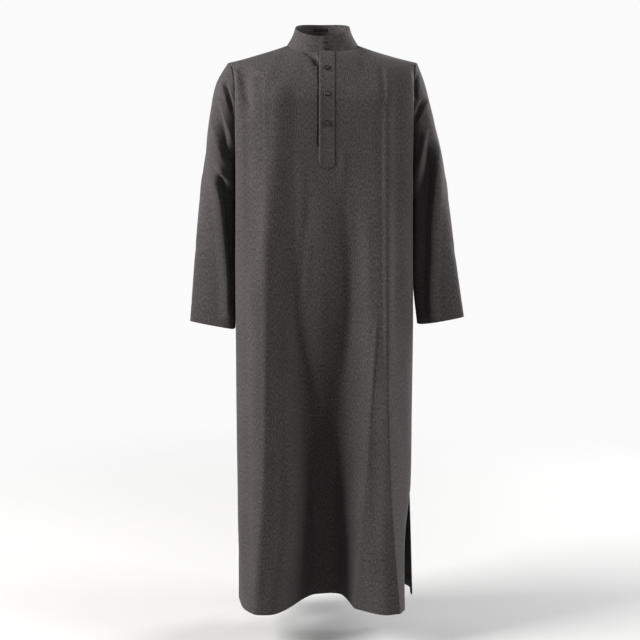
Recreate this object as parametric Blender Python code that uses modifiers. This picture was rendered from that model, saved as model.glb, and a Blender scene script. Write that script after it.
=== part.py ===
# A long thobe robe with a stand collar, a buttoned half placket and side slits, held out as when worn.
# Metres, +Z up. The origin is the middle of the neck base, where the wearer's neck and shoulders
# carry the robe. The front faces -Y, and the wearer's right side is at -X.
import math

import bmesh
import bpy
from mathutils import Matrix, Vector

# Sizes of the cut
CLOTH = 0.0016            # wall of the suiting
BAND_CLOTH = 0.0024       # collar stand: two layers and an interlining
STRIP_CLOTH = 0.0012      # placket strips and label
SEAM_GAP = 0.0003         # space kept between sewn pieces
SHOULDER_SEAM_GAP = 0.0009
ARMHOLE_EASE = 0.0005     # extra space where the sleeve turns away from the body
FACET_ALLOWANCE = 0.0003  # extra space over or under a surface made of flat facets

# Heights, from the neck base
SHOULDER_Z = -0.044
YOKE_Z = -0.14            # above this the cloth bends over the chest to the shoulder
UNDERARM_Z = -0.28
SLIT_TOP_Z = -1.088
CALF_Z = -1.22
HEM_Z = -1.388

# Neck and shoulders
NECK_HALF = 0.0858        # half the width of the neckline
NECK_FRONT_Y = -0.070
NECK_BACK_Y = 0.075
NECK_FRONT_Z = -0.0245
NECK_BACK_Z = 0.018
NECK_POINT_Y = 0.004      # where the shoulder seam meets the neckline
SHOULDER_HALF = 0.2296
SHOULDER_SAG = 0.25       # how much the shoulder line hollows towards the neck
ARMHOLE_DEPTH = 0.055     # half the armhole's reach from front to back
SHOULDER_BEND = 2.0       # shape of the bend from chest to shoulder: 2 is round, less is flatter
NECK_BEND = 1.45          # the same towards the neck

# Placket
SLASH_X = -0.0076         # the cut down the front, under the strip's open edge
SLASH_GAP = 0.0016
SLASH_GAPE = 0.0026       # how much wider the cut stands open near its foot
SLASH_GAPE_Z = (-0.11, -0.21)    # where it starts to widen and where it is widest
PLACKET_HALF = 0.0184
PLACKET_POINT_Z = -0.303
PLACKET_SHOULDER_Z = -0.2912
PLACKET_TOP_ROW = 2.95    # just short of the collar's foot
UNDERLAP_TOP_ROW = 2.98
BUTTON_RADIUS = 0.0065
BUTTON_HEIGHTS = (-0.0632, -0.1242, -0.1929)
COLLAR_BUTTON_SHARES = (0.27, 0.665)    # share of the stand's height

# Collar stand
COLLAR_TOP_HALF = 0.0655
COLLAR_TOP_FRONT_Y = -0.058
COLLAR_TOP_BACK_Y = 0.069
COLLAR_TOP_FRONT_Z = 0.0152
COLLAR_TOP_BACK_Z = 0.0543
COLLAR_LIFT = 0.0018      # the stand starts this far above the neckline
COLLAR_HOLLOW = 0.0028    # how far its sides hollow in half-way up
COLLAR_RISE = 1.6         # how early its top edge climbs from the front to the back
COLLAR_UNDERLAP = 19.0    # degrees past the front middle that the under end reaches
COLLAR_STEP = (-26.0, -6.0)      # degrees over which the stand steps in under its over end

# Label
LABEL_WIDTH = 0.031
LABEL_HEIGHT = 0.0068
LABEL_ANGLE = -176.0
LABEL_SHARE = 0.66        # its place up the stand

CLOTH_COLOUR = (0.078, 0.068, 0.066, 1)
INNER_COLOUR = (0.060, 0.052, 0.051, 1)
BUTTON_COLOUR = (0.030, 0.027, 0.027, 1)
LABEL_COLOUR = (0.008, 0.008, 0.009, 1)

# Stations down the body where the lines below are measured: chest, hip, thigh, slit, calf, hem
STATIONS = (-0.20, -0.62, -0.86, SLIT_TOP_Z, CALF_Z, HEM_Z)

# The side seams down to the slits, and how far each panel's corner swings from there.
# Each row: across and depth at the first four stations, then for front and back the swing
# across and in depth at calf and hem.
SIDE_SEAMS = {
    "right": ((-0.2100, -0.2140, -0.2138, -0.2122), (0.000, 0.000, -0.008, -0.030),
              {-1: ((0.0004, 0.0012), (-0.012, -0.036)), 1: ((-0.0004, -0.0004), (-0.006, -0.024))}),
    "left": ((0.2185, 0.2228, 0.2226, 0.2210), (0.000, 0.000, 0.000, -0.018),
             {-1: ((-0.0185, -0.0195), (-0.058, -0.090)), 1: ((0.0045, 0.0100), (-0.004, -0.009))}),
}

# Lines that run down the cloth. Each row: name, its place across (x) at the stations, its
# depth (y) there, and how soft the fold along it is at the chest and at the hem
# (0.9 is round, 0.2 is a pressed crease).
FRONT_LINES = (
    ("edge_right", (-0.2100, -0.2140, -0.2138, -0.2120, -0.2095, -0.1985),
     (-0.078, -0.072, -0.075, -0.085, -0.100, -0.124), 0.6, 0.8),
    ("dip_right", (-0.184, -0.184, -0.182, -0.180, -0.180, -0.180),
     (-0.104, -0.116, -0.122, -0.130, -0.140, -0.156), 0.9, 0.8),
    ("crest_right", (-0.137, -0.138, -0.138, -0.139, -0.141, -0.146),
     (-0.128, -0.156, -0.162, -0.166, -0.169, -0.175), 0.8, 0.5),
    ("inner_right", (-0.094, -0.090, -0.080, -0.074, -0.080, -0.106),
     (-0.130, -0.140, -0.144, -0.150, -0.157, -0.166), 0.9, 0.9),
    ("valley_right", (-0.054, -0.060, -0.047, -0.034, -0.032, -0.034),
     (-0.131, -0.124, -0.098, -0.066, -0.045, -0.030), 0.9, 0.9),
    ("middle", (SLASH_X, -0.014, -0.006, 0.001, 0.003, 0.004),
     (-0.132, -0.136, -0.104, -0.060, -0.038, -0.020), 0.9, 0.9),
    ("placket_edge", (SLASH_X + 2 * PLACKET_HALF, 0.030, 0.022, 0.020, 0.022, 0.030),
     (-0.1315, -0.128, -0.096, -0.056, -0.036, -0.017), 0.9, 0.9),
    ("valley_left", (0.060, 0.069, 0.050, 0.040, 0.044, 0.054),
     (-0.131, -0.118, -0.094, -0.064, -0.046, -0.030), 0.9, 0.9),
    ("inner_left", (0.100, 0.115, 0.118, 0.102, 0.092, 0.079),
     (-0.130, -0.146, -0.148, -0.144, -0.138, -0.128), 0.9, 0.6),
    ("face_left", (0.126, 0.140, 0.139, 0.140, 0.142, 0.148),
     (-0.129, -0.150, -0.154, -0.157, -0.165, -0.180), 0.9, 0.9),
    ("crest_left", (0.155, 0.154, 0.161, 0.180, 0.188, 0.197),
     (-0.124, -0.150, -0.156, -0.150, -0.152, -0.160), 0.8, 0.6),
    ("edge_left", (0.2185, 0.2228, 0.2226, 0.2206, 0.2055, 0.2055),
     (-0.078, -0.074, -0.075, -0.084, -0.112, -0.136), 0.6, 0.6),
)
BACK_LINES = (
    ("edge_right", (-0.2070, -0.2095, -0.2100, -0.2110, -0.2140, -0.2170),
     (0.062, 0.060, 0.055, 0.045, 0.035, 0.020), 0.8, 0.8),
    ("crest_right", (-0.130, -0.138, -0.150, -0.158, -0.163, -0.170),
     (0.112, 0.108, 0.120, 0.130, 0.136, 0.144), 0.9, 0.7),
    ("valley_right", (-0.078, -0.084, -0.092, -0.098, -0.100, -0.104),
     (0.116, 0.102, 0.094, 0.084, 0.078, 0.070), 0.9, 0.9),
    ("middle", (0.000, -0.004, -0.012, -0.020, -0.024, -0.028),
     (0.113, 0.110, 0.124, 0.138, 0.146, 0.154), 0.9, 0.8),
    ("valley_left", (0.078, 0.082, 0.078, 0.070, 0.067, 0.064),
     (0.116, 0.102, 0.098, 0.090, 0.086, 0.080), 0.9, 0.9),
    ("crest_left", (0.130, 0.138, 0.144, 0.146, 0.147, 0.148),
     (0.112, 0.108, 0.116, 0.126, 0.132, 0.138), 0.9, 0.7),
    ("edge_left", (0.2150, 0.2170, 0.2185, 0.2210, 0.2260, 0.2310),
     (0.062, 0.060, 0.055, 0.042, 0.038, 0.034), 0.8, 0.8),
)

# Where the lines, and the side edges outside them, meet the top edge of the front (-1) and the
# back (1): places along a shoulder seam, from its outer end, then angles round the neckline.
SLASH_ANGLE = math.degrees(math.asin(SLASH_X / NECK_HALF))
PLACKET_ANGLE = math.degrees(math.asin((SLASH_X + 2 * PLACKET_HALF) / NECK_HALF))
TOP_STOPS = {
    -1: ((SHOULDER_HALF, 0.197, 0.143), (-90, -62, -33, SLASH_ANGLE, PLACKET_ANGLE, 43, 66, 90)),
    1: ((SHOULDER_HALF, 0.160), (-90, -135, -180, -225, -270)),
}

# The sleeve, as sections down the arm. Each row: share of the way to the cuff, outer edge
# (across, height), inner edge (across, height), middle depth, half depth and how far the
# front fold lies towards the body.
SLEEVE_RIGHT = (
    (0.00, 0.2296, -0.044, 0.2100, -0.280, 0.000, 0.060, 0.00),
    (0.10, 0.2595, -0.093, 0.2135, -0.310, 0.004, 0.066, 0.02),
    (0.24, 0.2772, -0.170, 0.2172, -0.360, 0.010, 0.064, -0.05),
    (0.40, 0.2920, -0.275, 0.2180, -0.420, 0.017, 0.056, 0.05),
    (0.58, 0.3089, -0.395, 0.2185, -0.495, 0.023, 0.049, 0.30),
    (0.78, 0.3225, -0.530, 0.2190, -0.590, 0.028, 0.042, 0.62),
    (1.00, 0.3360, -0.686, 0.2225, -0.703, 0.032, 0.036, 0.85),
)
SLEEVE_LEFT = (
    (0.00, 0.2296, -0.044, 0.2185, -0.280, 0.000, 0.060, 0.00),
    (0.10, 0.2500, -0.093, 0.2225, -0.310, 0.004, 0.066, 0.02),
    (0.24, 0.2708, -0.170, 0.2258, -0.360, 0.008, 0.064, -0.30),
    (0.40, 0.2968, -0.275, 0.2268, -0.420, 0.013, 0.056, -0.38),
    (0.58, 0.3168, -0.395, 0.2272, -0.495, 0.018, 0.049, -0.10),
    (0.78, 0.3360, -0.530, 0.2290, -0.585, 0.022, 0.042, 0.20),
    (1.00, 0.3590, -0.674, 0.2414, -0.691, 0.026, 0.036, 0.42),
)
CAP_SHARE = 0.30          # the sleeve takes the armhole's shape over this share of its length
BACK_FOLD = 0.5           # how much of the front fold the back of the sleeve takes
UNDERARM_TURN = (0.2, 0.8)       # from side to straight down, where the seam needs more room

# Mesh density
COLUMNS_PER_LINE = 3
ROWS_BELOW_ARMHOLE = 17
ARC_ROWS = 5              # rows in each quarter of an armhole
SLEEVE_ROWS = 17
COLLAR_COLUMNS = 42
COLLAR_ROWS = 4
LABEL_COLUMNS = 6
LABEL_ROWS = 2
BUTTON_SIDES = 16
SLASH_FOOT_ROW = 1 + 2 / ARC_ROWS
UNDERLAP_FOOT_ROW = 1 + 1 / ARC_ROWS


def blend(a, b, share):
    return a + (b - a) * share


def smooth(share):
    share = min(1.0, max(0.0, share))
    return share * share * (3 - 2 * share)


def ramp(value, limits):
    """Rises smoothly from 0 at the first limit to 1 at the second."""
    start, end = limits
    return smooth((value - start) / (end - start))


def through(stations, values, place):
    """The smooth curve through the values at the stations, which may rise or fall."""
    if (stations[-1] - stations[0]) * (place - stations[0]) <= 0:
        return values[0]
    for i in range(len(stations) - 1):
        low, high = stations[i], stations[i + 1]
        if (place - high) * (high - low) <= 0 or i == len(stations) - 2:
            break
    span = high - low
    slopes = []
    for k in (i, i + 1):
        if k == 0:
            slopes.append(0.0)
        elif k == len(stations) - 1:
            slopes.append((values[k] - values[k - 1]) / (stations[k] - stations[k - 1]))
        else:
            slopes.append((values[k + 1] - values[k - 1]) / (stations[k + 1] - stations[k - 1]))
    t = (place - low) / span
    return (values[i] * (2 * t**3 - 3 * t**2 + 1) + slopes[0] * span * (t**3 - 2 * t**2 + t)
            + values[i + 1] * (3 * t**2 - 2 * t**3) + slopes[1] * span * (t**3 - t**2))


def along_corners(corners, softness, place):
    """A point on the polygon through the corners, each rounded by its softness."""
    last = len(corners) - 1
    i = min(last, max(0, round(place)))
    reach = softness[i] / 2
    if 0 < i < last and abs(place - i) < reach:
        before = corners[i].lerp(corners[i - 1], reach)
        after = corners[i].lerp(corners[i + 1], reach)
        t = (place - i + reach) / (2 * reach)
        return before.lerp(corners[i], t).lerp(corners[i].lerp(after, t), t)
    low = min(last - 1, int(math.floor(place)))
    return corners[low].lerp(corners[low + 1], place - low)


def armhole_depth(z):
    """How far the armhole's edge lies in front of or behind the side seam, below the yoke."""
    rise = (z - YOKE_Z) / (UNDERARM_Z - YOKE_Z)
    return ARMHOLE_DEPTH * math.sqrt(max(0.0, 1 - rise * rise))


def side_point(hand, side, z):
    """A panel's side edge: the armhole, the side seam, then its own corner of the slit."""
    across, depth, swings = SIDE_SEAMS[hand]
    x = through(STATIONS[:4], across, max(z, SLIT_TOP_Z))
    y = through(STATIONS[:4], depth, max(z, SLIT_TOP_Z))
    if z < SLIT_TOP_Z:
        x += through(STATIONS[3:], (0.0,) + swings[side][0], z)
        y += through(STATIONS[3:], (0.0,) + swings[side][1], z)
    if z > UNDERARM_Z:
        y += side * armhole_depth(z)
    return Vector((x, y, z))


def section_point(side, place, z):
    """A point of the front (side -1) or back (side 1) at a height below the yoke."""
    corners = [side_point("right", side, z)]
    softness = [0.0]
    share = smooth((z - STATIONS[0]) / (HEM_Z - STATIONS[0]))
    for name, across, depth, soft_top, soft_hem in lines_of(side):
        corners.append(Vector((through(STATIONS, across, z), through(STATIONS, depth, z), z)))
        softness.append(blend(soft_top, soft_hem, share))
    corners.append(side_point("left", side, z))
    softness.append(0.0)
    return along_corners(corners, softness, place)


def lines_of(side):
    return FRONT_LINES if side < 0 else BACK_LINES


def last_place(side):
    return len(lines_of(side)) + 1


def neckline(angle):
    """The neckline at an angle in degrees from the front middle; positive is the wearer's left."""
    turn = math.radians(angle)
    x = NECK_HALF * math.sin(turn)
    reach = math.cos(turn)
    if reach >= 0:
        y = NECK_POINT_Y + (NECK_FRONT_Y - NECK_POINT_Y) * reach
    else:
        y = NECK_POINT_Y - (NECK_BACK_Y - NECK_POINT_Y) * reach
    z = NECK_FRONT_Z + (NECK_BACK_Z - NECK_FRONT_Z) * (y - NECK_FRONT_Y) / (NECK_BACK_Y - NECK_FRONT_Y)
    return Vector((x, y, z))


def shoulder(x):
    """The shoulder seam at a place across."""
    neck_point = neckline(90)
    share = (abs(x) - NECK_HALF) / (SHOULDER_HALF - NECK_HALF)
    drop = share * (1 + SHOULDER_SAG * (1 - share))
    return Vector((x, NECK_POINT_Y, blend(neck_point.z, SHOULDER_Z, drop)))


def top_edge(side, place):
    """The upper edge of a panel: shoulder seam, neckline, shoulder seam."""
    seam_stops, neck_stops = TOP_STOPS[side]
    last = last_place(side)
    outward = min(place, last - place)
    if outward < len(seam_stops):
        hand = -1 if place < last / 2 else 1
        stops = seam_stops + (NECK_HALF,)
        low = int(outward)
        return shoulder(hand * blend(stops[low], stops[low + 1], outward - low))
    reach = place - len(seam_stops)
    low = min(int(reach), len(neck_stops) - 2)
    return neckline(blend(neck_stops[low], neck_stops[low + 1], reach - low))


def panel_point(side, place, row):
    """A point of a body panel. row runs from 0 at the hem to 1 at the underarm, 2 at the yoke
    and 3 at the top edge."""
    if row <= 1:
        return section_point(side, place, blend(HEM_Z, UNDERARM_Z, row))
    if row <= 2:
        z = YOKE_Z + (UNDERARM_Z - YOKE_Z) * math.cos((row - 1) * math.pi / 2)
        return section_point(side, place, z)
    turn = (row - 2) * math.pi / 2
    below = section_point(side, place, YOKE_Z)
    above = top_edge(side, place)
    neckness = smooth(min(place, last_place(side) - place) / (len(TOP_STOPS[side][0]) + 1))
    power = 2 / blend(SHOULDER_BEND, NECK_BEND, neckness)
    level = 1 - max(0.0, math.cos(turn)) ** power
    rise = math.sin(turn) ** power
    return Vector((blend(below.x, above.x, level), blend(below.y, above.y, level),
                   blend(below.z, above.z, rise)))


def row_at(z):
    """The row of a height below the underarm."""
    return (z - HEM_Z) / (UNDERARM_Z - HEM_Z)


def panel_rows():
    rows = [i / ROWS_BELOW_ARMHOLE for i in range(ROWS_BELOW_ARMHOLE)] + [row_at(PLACKET_POINT_Z)]
    return rows + [1 + i / ARC_ROWS for i in range(2 * ARC_ROWS + 1)]


def place_of(side, name):
    return [line[0] for line in lines_of(side)].index(name) + 1


def sheet_mesh(name, points):
    """A mesh from a grid of points, made from a grid primitive whose vertices are placed in turn."""
    rows, columns = len(points), len(points[0])
    mesh = bpy.data.meshes.new(name)
    shape = bmesh.new()
    bmesh.ops.create_grid(shape, x_segments=columns - 1, y_segments=rows - 1, size=1)
    shape.verts.ensure_lookup_table()
    for j in range(rows):
        for i in range(columns):
            shape.verts[j * columns + i].co = points[j][i]
    shape.to_mesh(mesh)
    shape.free()
    return mesh


def place_piece(mesh, material, collection):
    obj = bpy.data.objects.new(mesh.name, mesh)
    mesh.materials.append(material)
    collection.objects.link(obj)
    return obj


def thicken(obj, wall, offset=0.0):
    """Gives an open sheet its wall; offset 0 keeps the sheet in the middle of it."""
    solid = obj.modifiers.new("wall", "SOLIDIFY")
    solid.thickness = wall
    solid.offset = offset
    solid.use_even_offset = True
    solid.use_quality_normals = True
    obj.data.shade_smooth()


def cloth_material(name, colour, roughness):
    material = bpy.data.materials.new(name)
    material.use_nodes = True
    shader = material.node_tree.nodes["Principled BSDF"]
    shader.inputs["Base Color"].default_value = colour
    shader.inputs["Roughness"].default_value = roughness
    shader.inputs["Metallic"].default_value = 0.0
    return material


def body_points(side):
    """The grid of a body panel, its seam edges drawn back by half a seam gap."""
    last = last_place(side)
    places = [i / COLUMNS_PER_LINE for i in range(last * COLUMNS_PER_LINE + 1)]
    points = [[panel_point(side, place, row) for place in places] for row in panel_rows()]
    for line in points:
        for end in (0, -1):
            line[end].y += side * SEAM_GAP / 2
    for place, point in zip(places, points[-1]):
        if min(place, last - place) < len(TOP_STOPS[side][0]) + 1e-6:
            point.y += side * SHOULDER_SEAM_GAP / 2
    return points


def cut_slash(mesh):
    """Opens the front down its middle line, from the neckline to the foot of the cut."""
    shape = bmesh.new()
    shape.from_mesh(mesh)
    shape.verts.ensure_lookup_table()
    columns = last_place(-1) * COLUMNS_PER_LINE + 1
    middle = place_of(-1, "middle") * COLUMNS_PER_LINE
    foot_row = panel_rows().index(SLASH_FOOT_ROW)
    line = [shape.verts[j * columns + middle] for j in range(foot_row, len(panel_rows()))]
    foot = line[0].co.copy()
    edges = [e for e in shape.edges if e.verts[0] in line and e.verts[1] in line]
    opened = bmesh.ops.split_edges(shape, edges=edges)["edges"]
    for vert in {v for edge in opened for v in edge.verts}:
        if (vert.co - foot).length < 1e-6:
            continue
        centre = sum(face.calc_center_median().x for face in vert.link_faces) / len(vert.link_faces)
        gape = SLASH_GAPE * ramp(vert.co.z, SLASH_GAPE_Z)
        vert.co.x += SLASH_GAP / 2 if centre > vert.co.x else -SLASH_GAP / 2 - gape
    shape.to_mesh(mesh)
    shape.free()


def make_front(material, collection):
    mesh = sheet_mesh("front", body_points(-1))
    cut_slash(mesh)
    thicken(place_piece(mesh, material, collection), CLOTH)


def make_back(material, collection):
    mesh = sheet_mesh("back", [list(reversed(line)) for line in body_points(1)])
    thicken(place_piece(mesh, material, collection), CLOTH)


def armhole(hand, angle):
    """The armhole's edge at an angle in degrees: 0 at the shoulder, 90 in front, 180 underarm."""
    side = -1 if angle <= 180 else 1
    turn = angle if side < 0 else 360 - angle
    return panel_point(side, 0 if hand < 0 else last_place(side), 3 - turn / 90)


def sleeve_point(table, hand, angle, share):
    """A point of the sleeve's sections, round from the outer edge by the front."""
    shares = [row[0] for row in table]
    outer_x, outer_z, inner_x, inner_z, middle, half, fold = (
        through(shares, [row[k] for row in table], share) for k in range(1, 8))
    turn = math.radians(angle)
    lean = fold if angle <= 180 else fold * BACK_FOLD
    reach = math.cos(turn + lean * math.sin(turn))
    x = (outer_x + inner_x) / 2 + (outer_x - inner_x) / 2 * reach
    z = (outer_z + inner_z) / 2 + (outer_z - inner_z) / 2 * reach
    return Vector((hand * x, middle - half * math.sin(turn), z))


def sleeve_wall_point(table, hand, angle, share):
    point = sleeve_point(table, hand, angle, share)
    if share < CAP_SHARE:
        start = armhole(hand, angle)
        underarm = ramp(-math.cos(math.radians(angle)), UNDERARM_TURN)
        stand_off = CLOTH / 2 + SEAM_GAP + ARMHOLE_EASE + CLOTH / 2 * underarm
        start.x += hand * stand_off
        point += (start - sleeve_point(table, hand, angle, 0)) * (1 - share / CAP_SHARE) ** 2
    return point


def make_sleeve(name, table, hand, material, collection):
    around = 4 * ARC_ROWS
    points = []
    for j in range(SLEEVE_ROWS + 1):
        share = j / SLEEVE_ROWS
        ring = [sleeve_wall_point(table, hand, 360 * i / around, share) for i in range(around)]
        ring.append(ring[0].copy())
        points.append(ring if hand > 0 else list(reversed(ring)))
    mesh = sheet_mesh(name, points)
    shape = bmesh.new()
    shape.from_mesh(mesh)
    bmesh.ops.remove_doubles(shape, verts=shape.verts, dist=1e-6)
    shape.to_mesh(mesh)
    shape.free()
    thicken(place_piece(mesh, material, collection), CLOTH)


def collar_point(angle, height):
    """A point on the middle of the stand, at a share of its height. The angle runs from the
    under end, past the front middle, round the back to the over end."""
    turn = math.radians(angle)
    base = neckline(angle)
    reach = math.cos(turn)
    backward = (1 - reach) / 2
    y = blend(COLLAR_TOP_FRONT_Y, COLLAR_TOP_BACK_Y, backward)
    z = blend(COLLAR_TOP_FRONT_Z, COLLAR_TOP_BACK_Z, 1 - (1 - backward) ** COLLAR_RISE)
    top = Vector((COLLAR_TOP_HALF * math.sin(turn), y, z))
    rise = (top - base).normalized()
    base = base + rise * COLLAR_LIFT
    point = base.lerp(top, height)
    outward = Vector((math.sin(turn), -reach, 0))
    point -= outward * COLLAR_HOLLOW * abs(math.sin(turn)) * math.sin(math.pi * height)
    return point - outward * (BAND_CLOTH + SEAM_GAP) * ramp(angle, COLLAR_STEP)


def collar_outward(angle, height):
    """The stand's own outward direction."""
    step = 1e-3
    point = collar_point(angle, height)
    along = collar_point(angle + step, height) - point
    up = collar_point(angle, height + step) - point
    return along.cross(up).normalized()


def collar_angles():
    first, last = COLLAR_UNDERLAP, SLASH_ANGLE - 360
    return [blend(first, last, i / COLLAR_COLUMNS) for i in range(COLLAR_COLUMNS + 1)]


def make_collar(material, collection):
    points = []
    for j in range(COLLAR_ROWS + 1):
        points.append([collar_point(angle, j / COLLAR_ROWS) for angle in reversed(collar_angles())])
    thicken(place_piece(sheet_mesh("collar", points), material, collection), BAND_CLOTH)


def on_front(place, row):
    """A point of the front's own flat facets, between its grid points."""
    rows = panel_rows()
    above = next(r for r in rows if r >= row - 1e-9)
    below = max((r for r in rows if r < row - 1e-9), default=above)
    column = math.floor(place * COLUMNS_PER_LINE + 1e-9)
    aside = place * COLUMNS_PER_LINE - column
    share = 0 if above == below else (above - row) / (above - below)
    ends = []
    for r in (above, below):
        left = panel_point(-1, column / COLUMNS_PER_LINE, r)
        right = panel_point(-1, (column + 1) / COLUMNS_PER_LINE, r) if aside > 1e-9 else left
        ends.append(left.lerp(right, aside))
    return ends[0].lerp(ends[1], share)


def lifted(points, lift):
    """The grid moved out along its own normals."""
    result = []
    rows, columns = len(points), len(points[0])
    for j in range(rows):
        line = []
        for i in range(columns):
            along = points[j][min(i + 1, columns - 1)] - points[j][max(i - 1, 0)]
            up = points[min(j + 1, rows - 1)][i] - points[max(j - 1, 0)][i]
            line.append(points[j][i] + along.cross(up).normalized() * lift)
        result.append(line)
    return result


def strip_points(first, last, foot_rows, top_row, lift):
    """A strip laid on the front, made from the front's points between two of its lines."""
    columns = round((last - first) * COLUMNS_PER_LINE)
    places = [first + i / COLUMNS_PER_LINE for i in range(columns + 1)]
    rows = [r for r in panel_rows() if max(foot_rows) + 1e-6 < r < top_row] + [top_row]
    points = [[on_front(place, foot) for place, foot in zip(places, foot_rows)]]
    points += [[on_front(place, row) for place in places] for row in rows]
    return lifted(points, lift)


def placket_points(lift):
    first, last = place_of(-1, "middle"), place_of(-1, "placket_edge")
    corner, point = row_at(PLACKET_SHOULDER_Z), row_at(PLACKET_POINT_Z)
    return strip_points(first, last, (corner, point, point, corner), PLACKET_TOP_ROW, lift)


def make_placket(material, collection):
    points = placket_points(CLOTH / 2 + SEAM_GAP + STRIP_CLOTH / 2)
    thicken(place_piece(sheet_mesh("placket", points), material, collection), STRIP_CLOTH)


def make_underlap(material, collection):
    """The strip under the cut, which carries the buttons."""
    first = place_of(-1, "middle") - 1 / COLUMNS_PER_LINE
    foot_rows = (UNDERLAP_FOOT_ROW,) * (COLUMNS_PER_LINE + 2)
    points = strip_points(first, place_of(-1, "placket_edge"), foot_rows, UNDERLAP_TOP_ROW,
                          -(CLOTH / 2 + SEAM_GAP + STRIP_CLOTH / 2))
    thicken(place_piece(sheet_mesh("underlap", points), material, collection), STRIP_CLOTH)


def on_strip(points, z):
    """The point and the outward direction on a strip's middle line at a height."""
    half = len(points[0]) // 2
    for low, high in zip(points, points[1:]):
        left, right = low[half - 1].lerp(low[half], 0.5), high[half - 1].lerp(high[half], 0.5)
        if left.z <= z <= right.z:
            break
    up = right - left
    outward = (low[half] - low[half - 1]).cross(up).normalized()
    return left.lerp(right, (z - left.z) / up.z), outward


def button_profile():
    """Half of a button's outline, from its underside middle to its top middle."""
    radius = BUTTON_RADIUS
    return ((0, 0), (radius * 0.82, 0), (radius, 0.0008), (radius, 0.0017),
            (radius * 0.88, 0.0024), (radius * 0.66, 0.0021), (0, 0.0017))


def make_button(name, seat, outward, material, collection):
    """A turned button whose underside rests just off the cloth."""
    mesh = bpy.data.meshes.new(name)
    shape = bmesh.new()
    profile = [shape.verts.new((r, 0, h)) for r, h in button_profile()]
    edges = [shape.edges.new(pair) for pair in zip(profile, profile[1:])]
    bmesh.ops.spin(shape, geom=profile + edges, cent=(0, 0, 0), axis=(0, 0, 1),
                   angle=2 * math.pi, steps=BUTTON_SIDES, use_merge=True)
    bmesh.ops.remove_doubles(shape, verts=shape.verts, dist=1e-6)
    bmesh.ops.recalc_face_normals(shape, faces=shape.faces)
    shape.to_mesh(mesh)
    shape.free()
    mesh.shade_smooth()
    mesh.set_sharp_from_angle(angle=math.radians(35))
    button = place_piece(mesh, material, collection)
    spin = Vector((0, 0, 1)).rotation_difference(outward).to_matrix().to_4x4()
    button.matrix_world = Matrix.Translation(seat) @ spin


def make_buttons(material, collection):
    strip = placket_points(CLOTH / 2 + SEAM_GAP + STRIP_CLOTH + SEAM_GAP)
    for number, z in enumerate(BUTTON_HEIGHTS, 1):
        seat, outward = on_strip(strip, z)
        make_button(f"button_{number}", seat, outward, material, collection)
    angle = math.degrees(math.asin((SLASH_X + PLACKET_HALF) / NECK_HALF)) - 360
    for number, share in enumerate(COLLAR_BUTTON_SHARES, 1):
        outward = collar_outward(angle, share)
        seat = collar_point(angle, share) + outward * (BAND_CLOTH / 2 + SEAM_GAP)
        make_button(f"collar_button_{number}", seat, outward, material, collection)


def make_label(material, collection):
    """A bare woven label inside the back of the stand."""
    half_angle = math.degrees(LABEL_WIDTH / 2 / COLLAR_TOP_HALF)
    stand_height = (collar_point(LABEL_ANGLE, 1) - collar_point(LABEL_ANGLE, 0)).length
    half_share = LABEL_HEIGHT / 2 / stand_height
    lift = BAND_CLOTH / 2 + SEAM_GAP + FACET_ALLOWANCE + STRIP_CLOTH / 2
    points = []
    for j in range(LABEL_ROWS + 1):
        share = LABEL_SHARE + blend(-half_share, half_share, j / LABEL_ROWS)
        line = []
        for i in range(LABEL_COLUMNS + 1):
            angle = LABEL_ANGLE + blend(half_angle, -half_angle, i / LABEL_COLUMNS)
            line.append(collar_point(angle, share) - collar_outward(angle, share) * lift)
        points.append(line)
    thicken(place_piece(sheet_mesh("neck_label", points), material, collection), STRIP_CLOTH)


def main():
    for obj in list(bpy.data.objects):
        bpy.data.objects.remove(obj)
    collection = bpy.data.collections.new("thobe")
    bpy.context.scene.collection.children.link(collection)
    suiting = cloth_material("suiting", CLOTH_COLOUR, 0.85)
    inner = cloth_material("inner_suiting", INNER_COLOUR, 0.85)
    button = cloth_material("button", BUTTON_COLOUR, 0.4)
    label = cloth_material("label", LABEL_COLOUR, 0.6)
    make_front(suiting, collection)
    make_back(suiting, collection)
    make_sleeve("sleeve_right", SLEEVE_RIGHT, -1, suiting, collection)
    make_sleeve("sleeve_left", SLEEVE_LEFT, 1, suiting, collection)
    make_collar(suiting, collection)
    make_placket(suiting, collection)
    make_underlap(inner, collection)
    make_buttons(button, collection)
    make_label(label, collection)


main()
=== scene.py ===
# Looks of a long thobe robe in dark heathered suiting, seen as when worn, with no wearer in it.
# Metres, +Z up, the front faces -Y and the wearer's right side is at -X.
import math

import bmesh
import bpy
from mathutils import Matrix, Vector, noise


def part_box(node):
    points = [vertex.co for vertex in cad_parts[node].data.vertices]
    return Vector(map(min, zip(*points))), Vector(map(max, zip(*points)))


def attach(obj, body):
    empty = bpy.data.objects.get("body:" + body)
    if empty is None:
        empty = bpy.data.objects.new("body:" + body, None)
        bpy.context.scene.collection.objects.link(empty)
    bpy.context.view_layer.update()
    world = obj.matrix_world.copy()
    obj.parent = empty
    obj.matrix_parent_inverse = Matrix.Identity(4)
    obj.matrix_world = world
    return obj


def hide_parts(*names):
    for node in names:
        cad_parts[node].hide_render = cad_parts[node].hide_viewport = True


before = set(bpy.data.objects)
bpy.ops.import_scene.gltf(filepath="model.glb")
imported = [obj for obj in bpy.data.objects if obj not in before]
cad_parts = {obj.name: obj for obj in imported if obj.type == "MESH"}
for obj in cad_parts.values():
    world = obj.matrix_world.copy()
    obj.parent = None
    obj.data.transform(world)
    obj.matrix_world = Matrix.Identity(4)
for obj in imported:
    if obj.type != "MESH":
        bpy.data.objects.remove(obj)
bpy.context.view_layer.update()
print("frame loaded")

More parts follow.
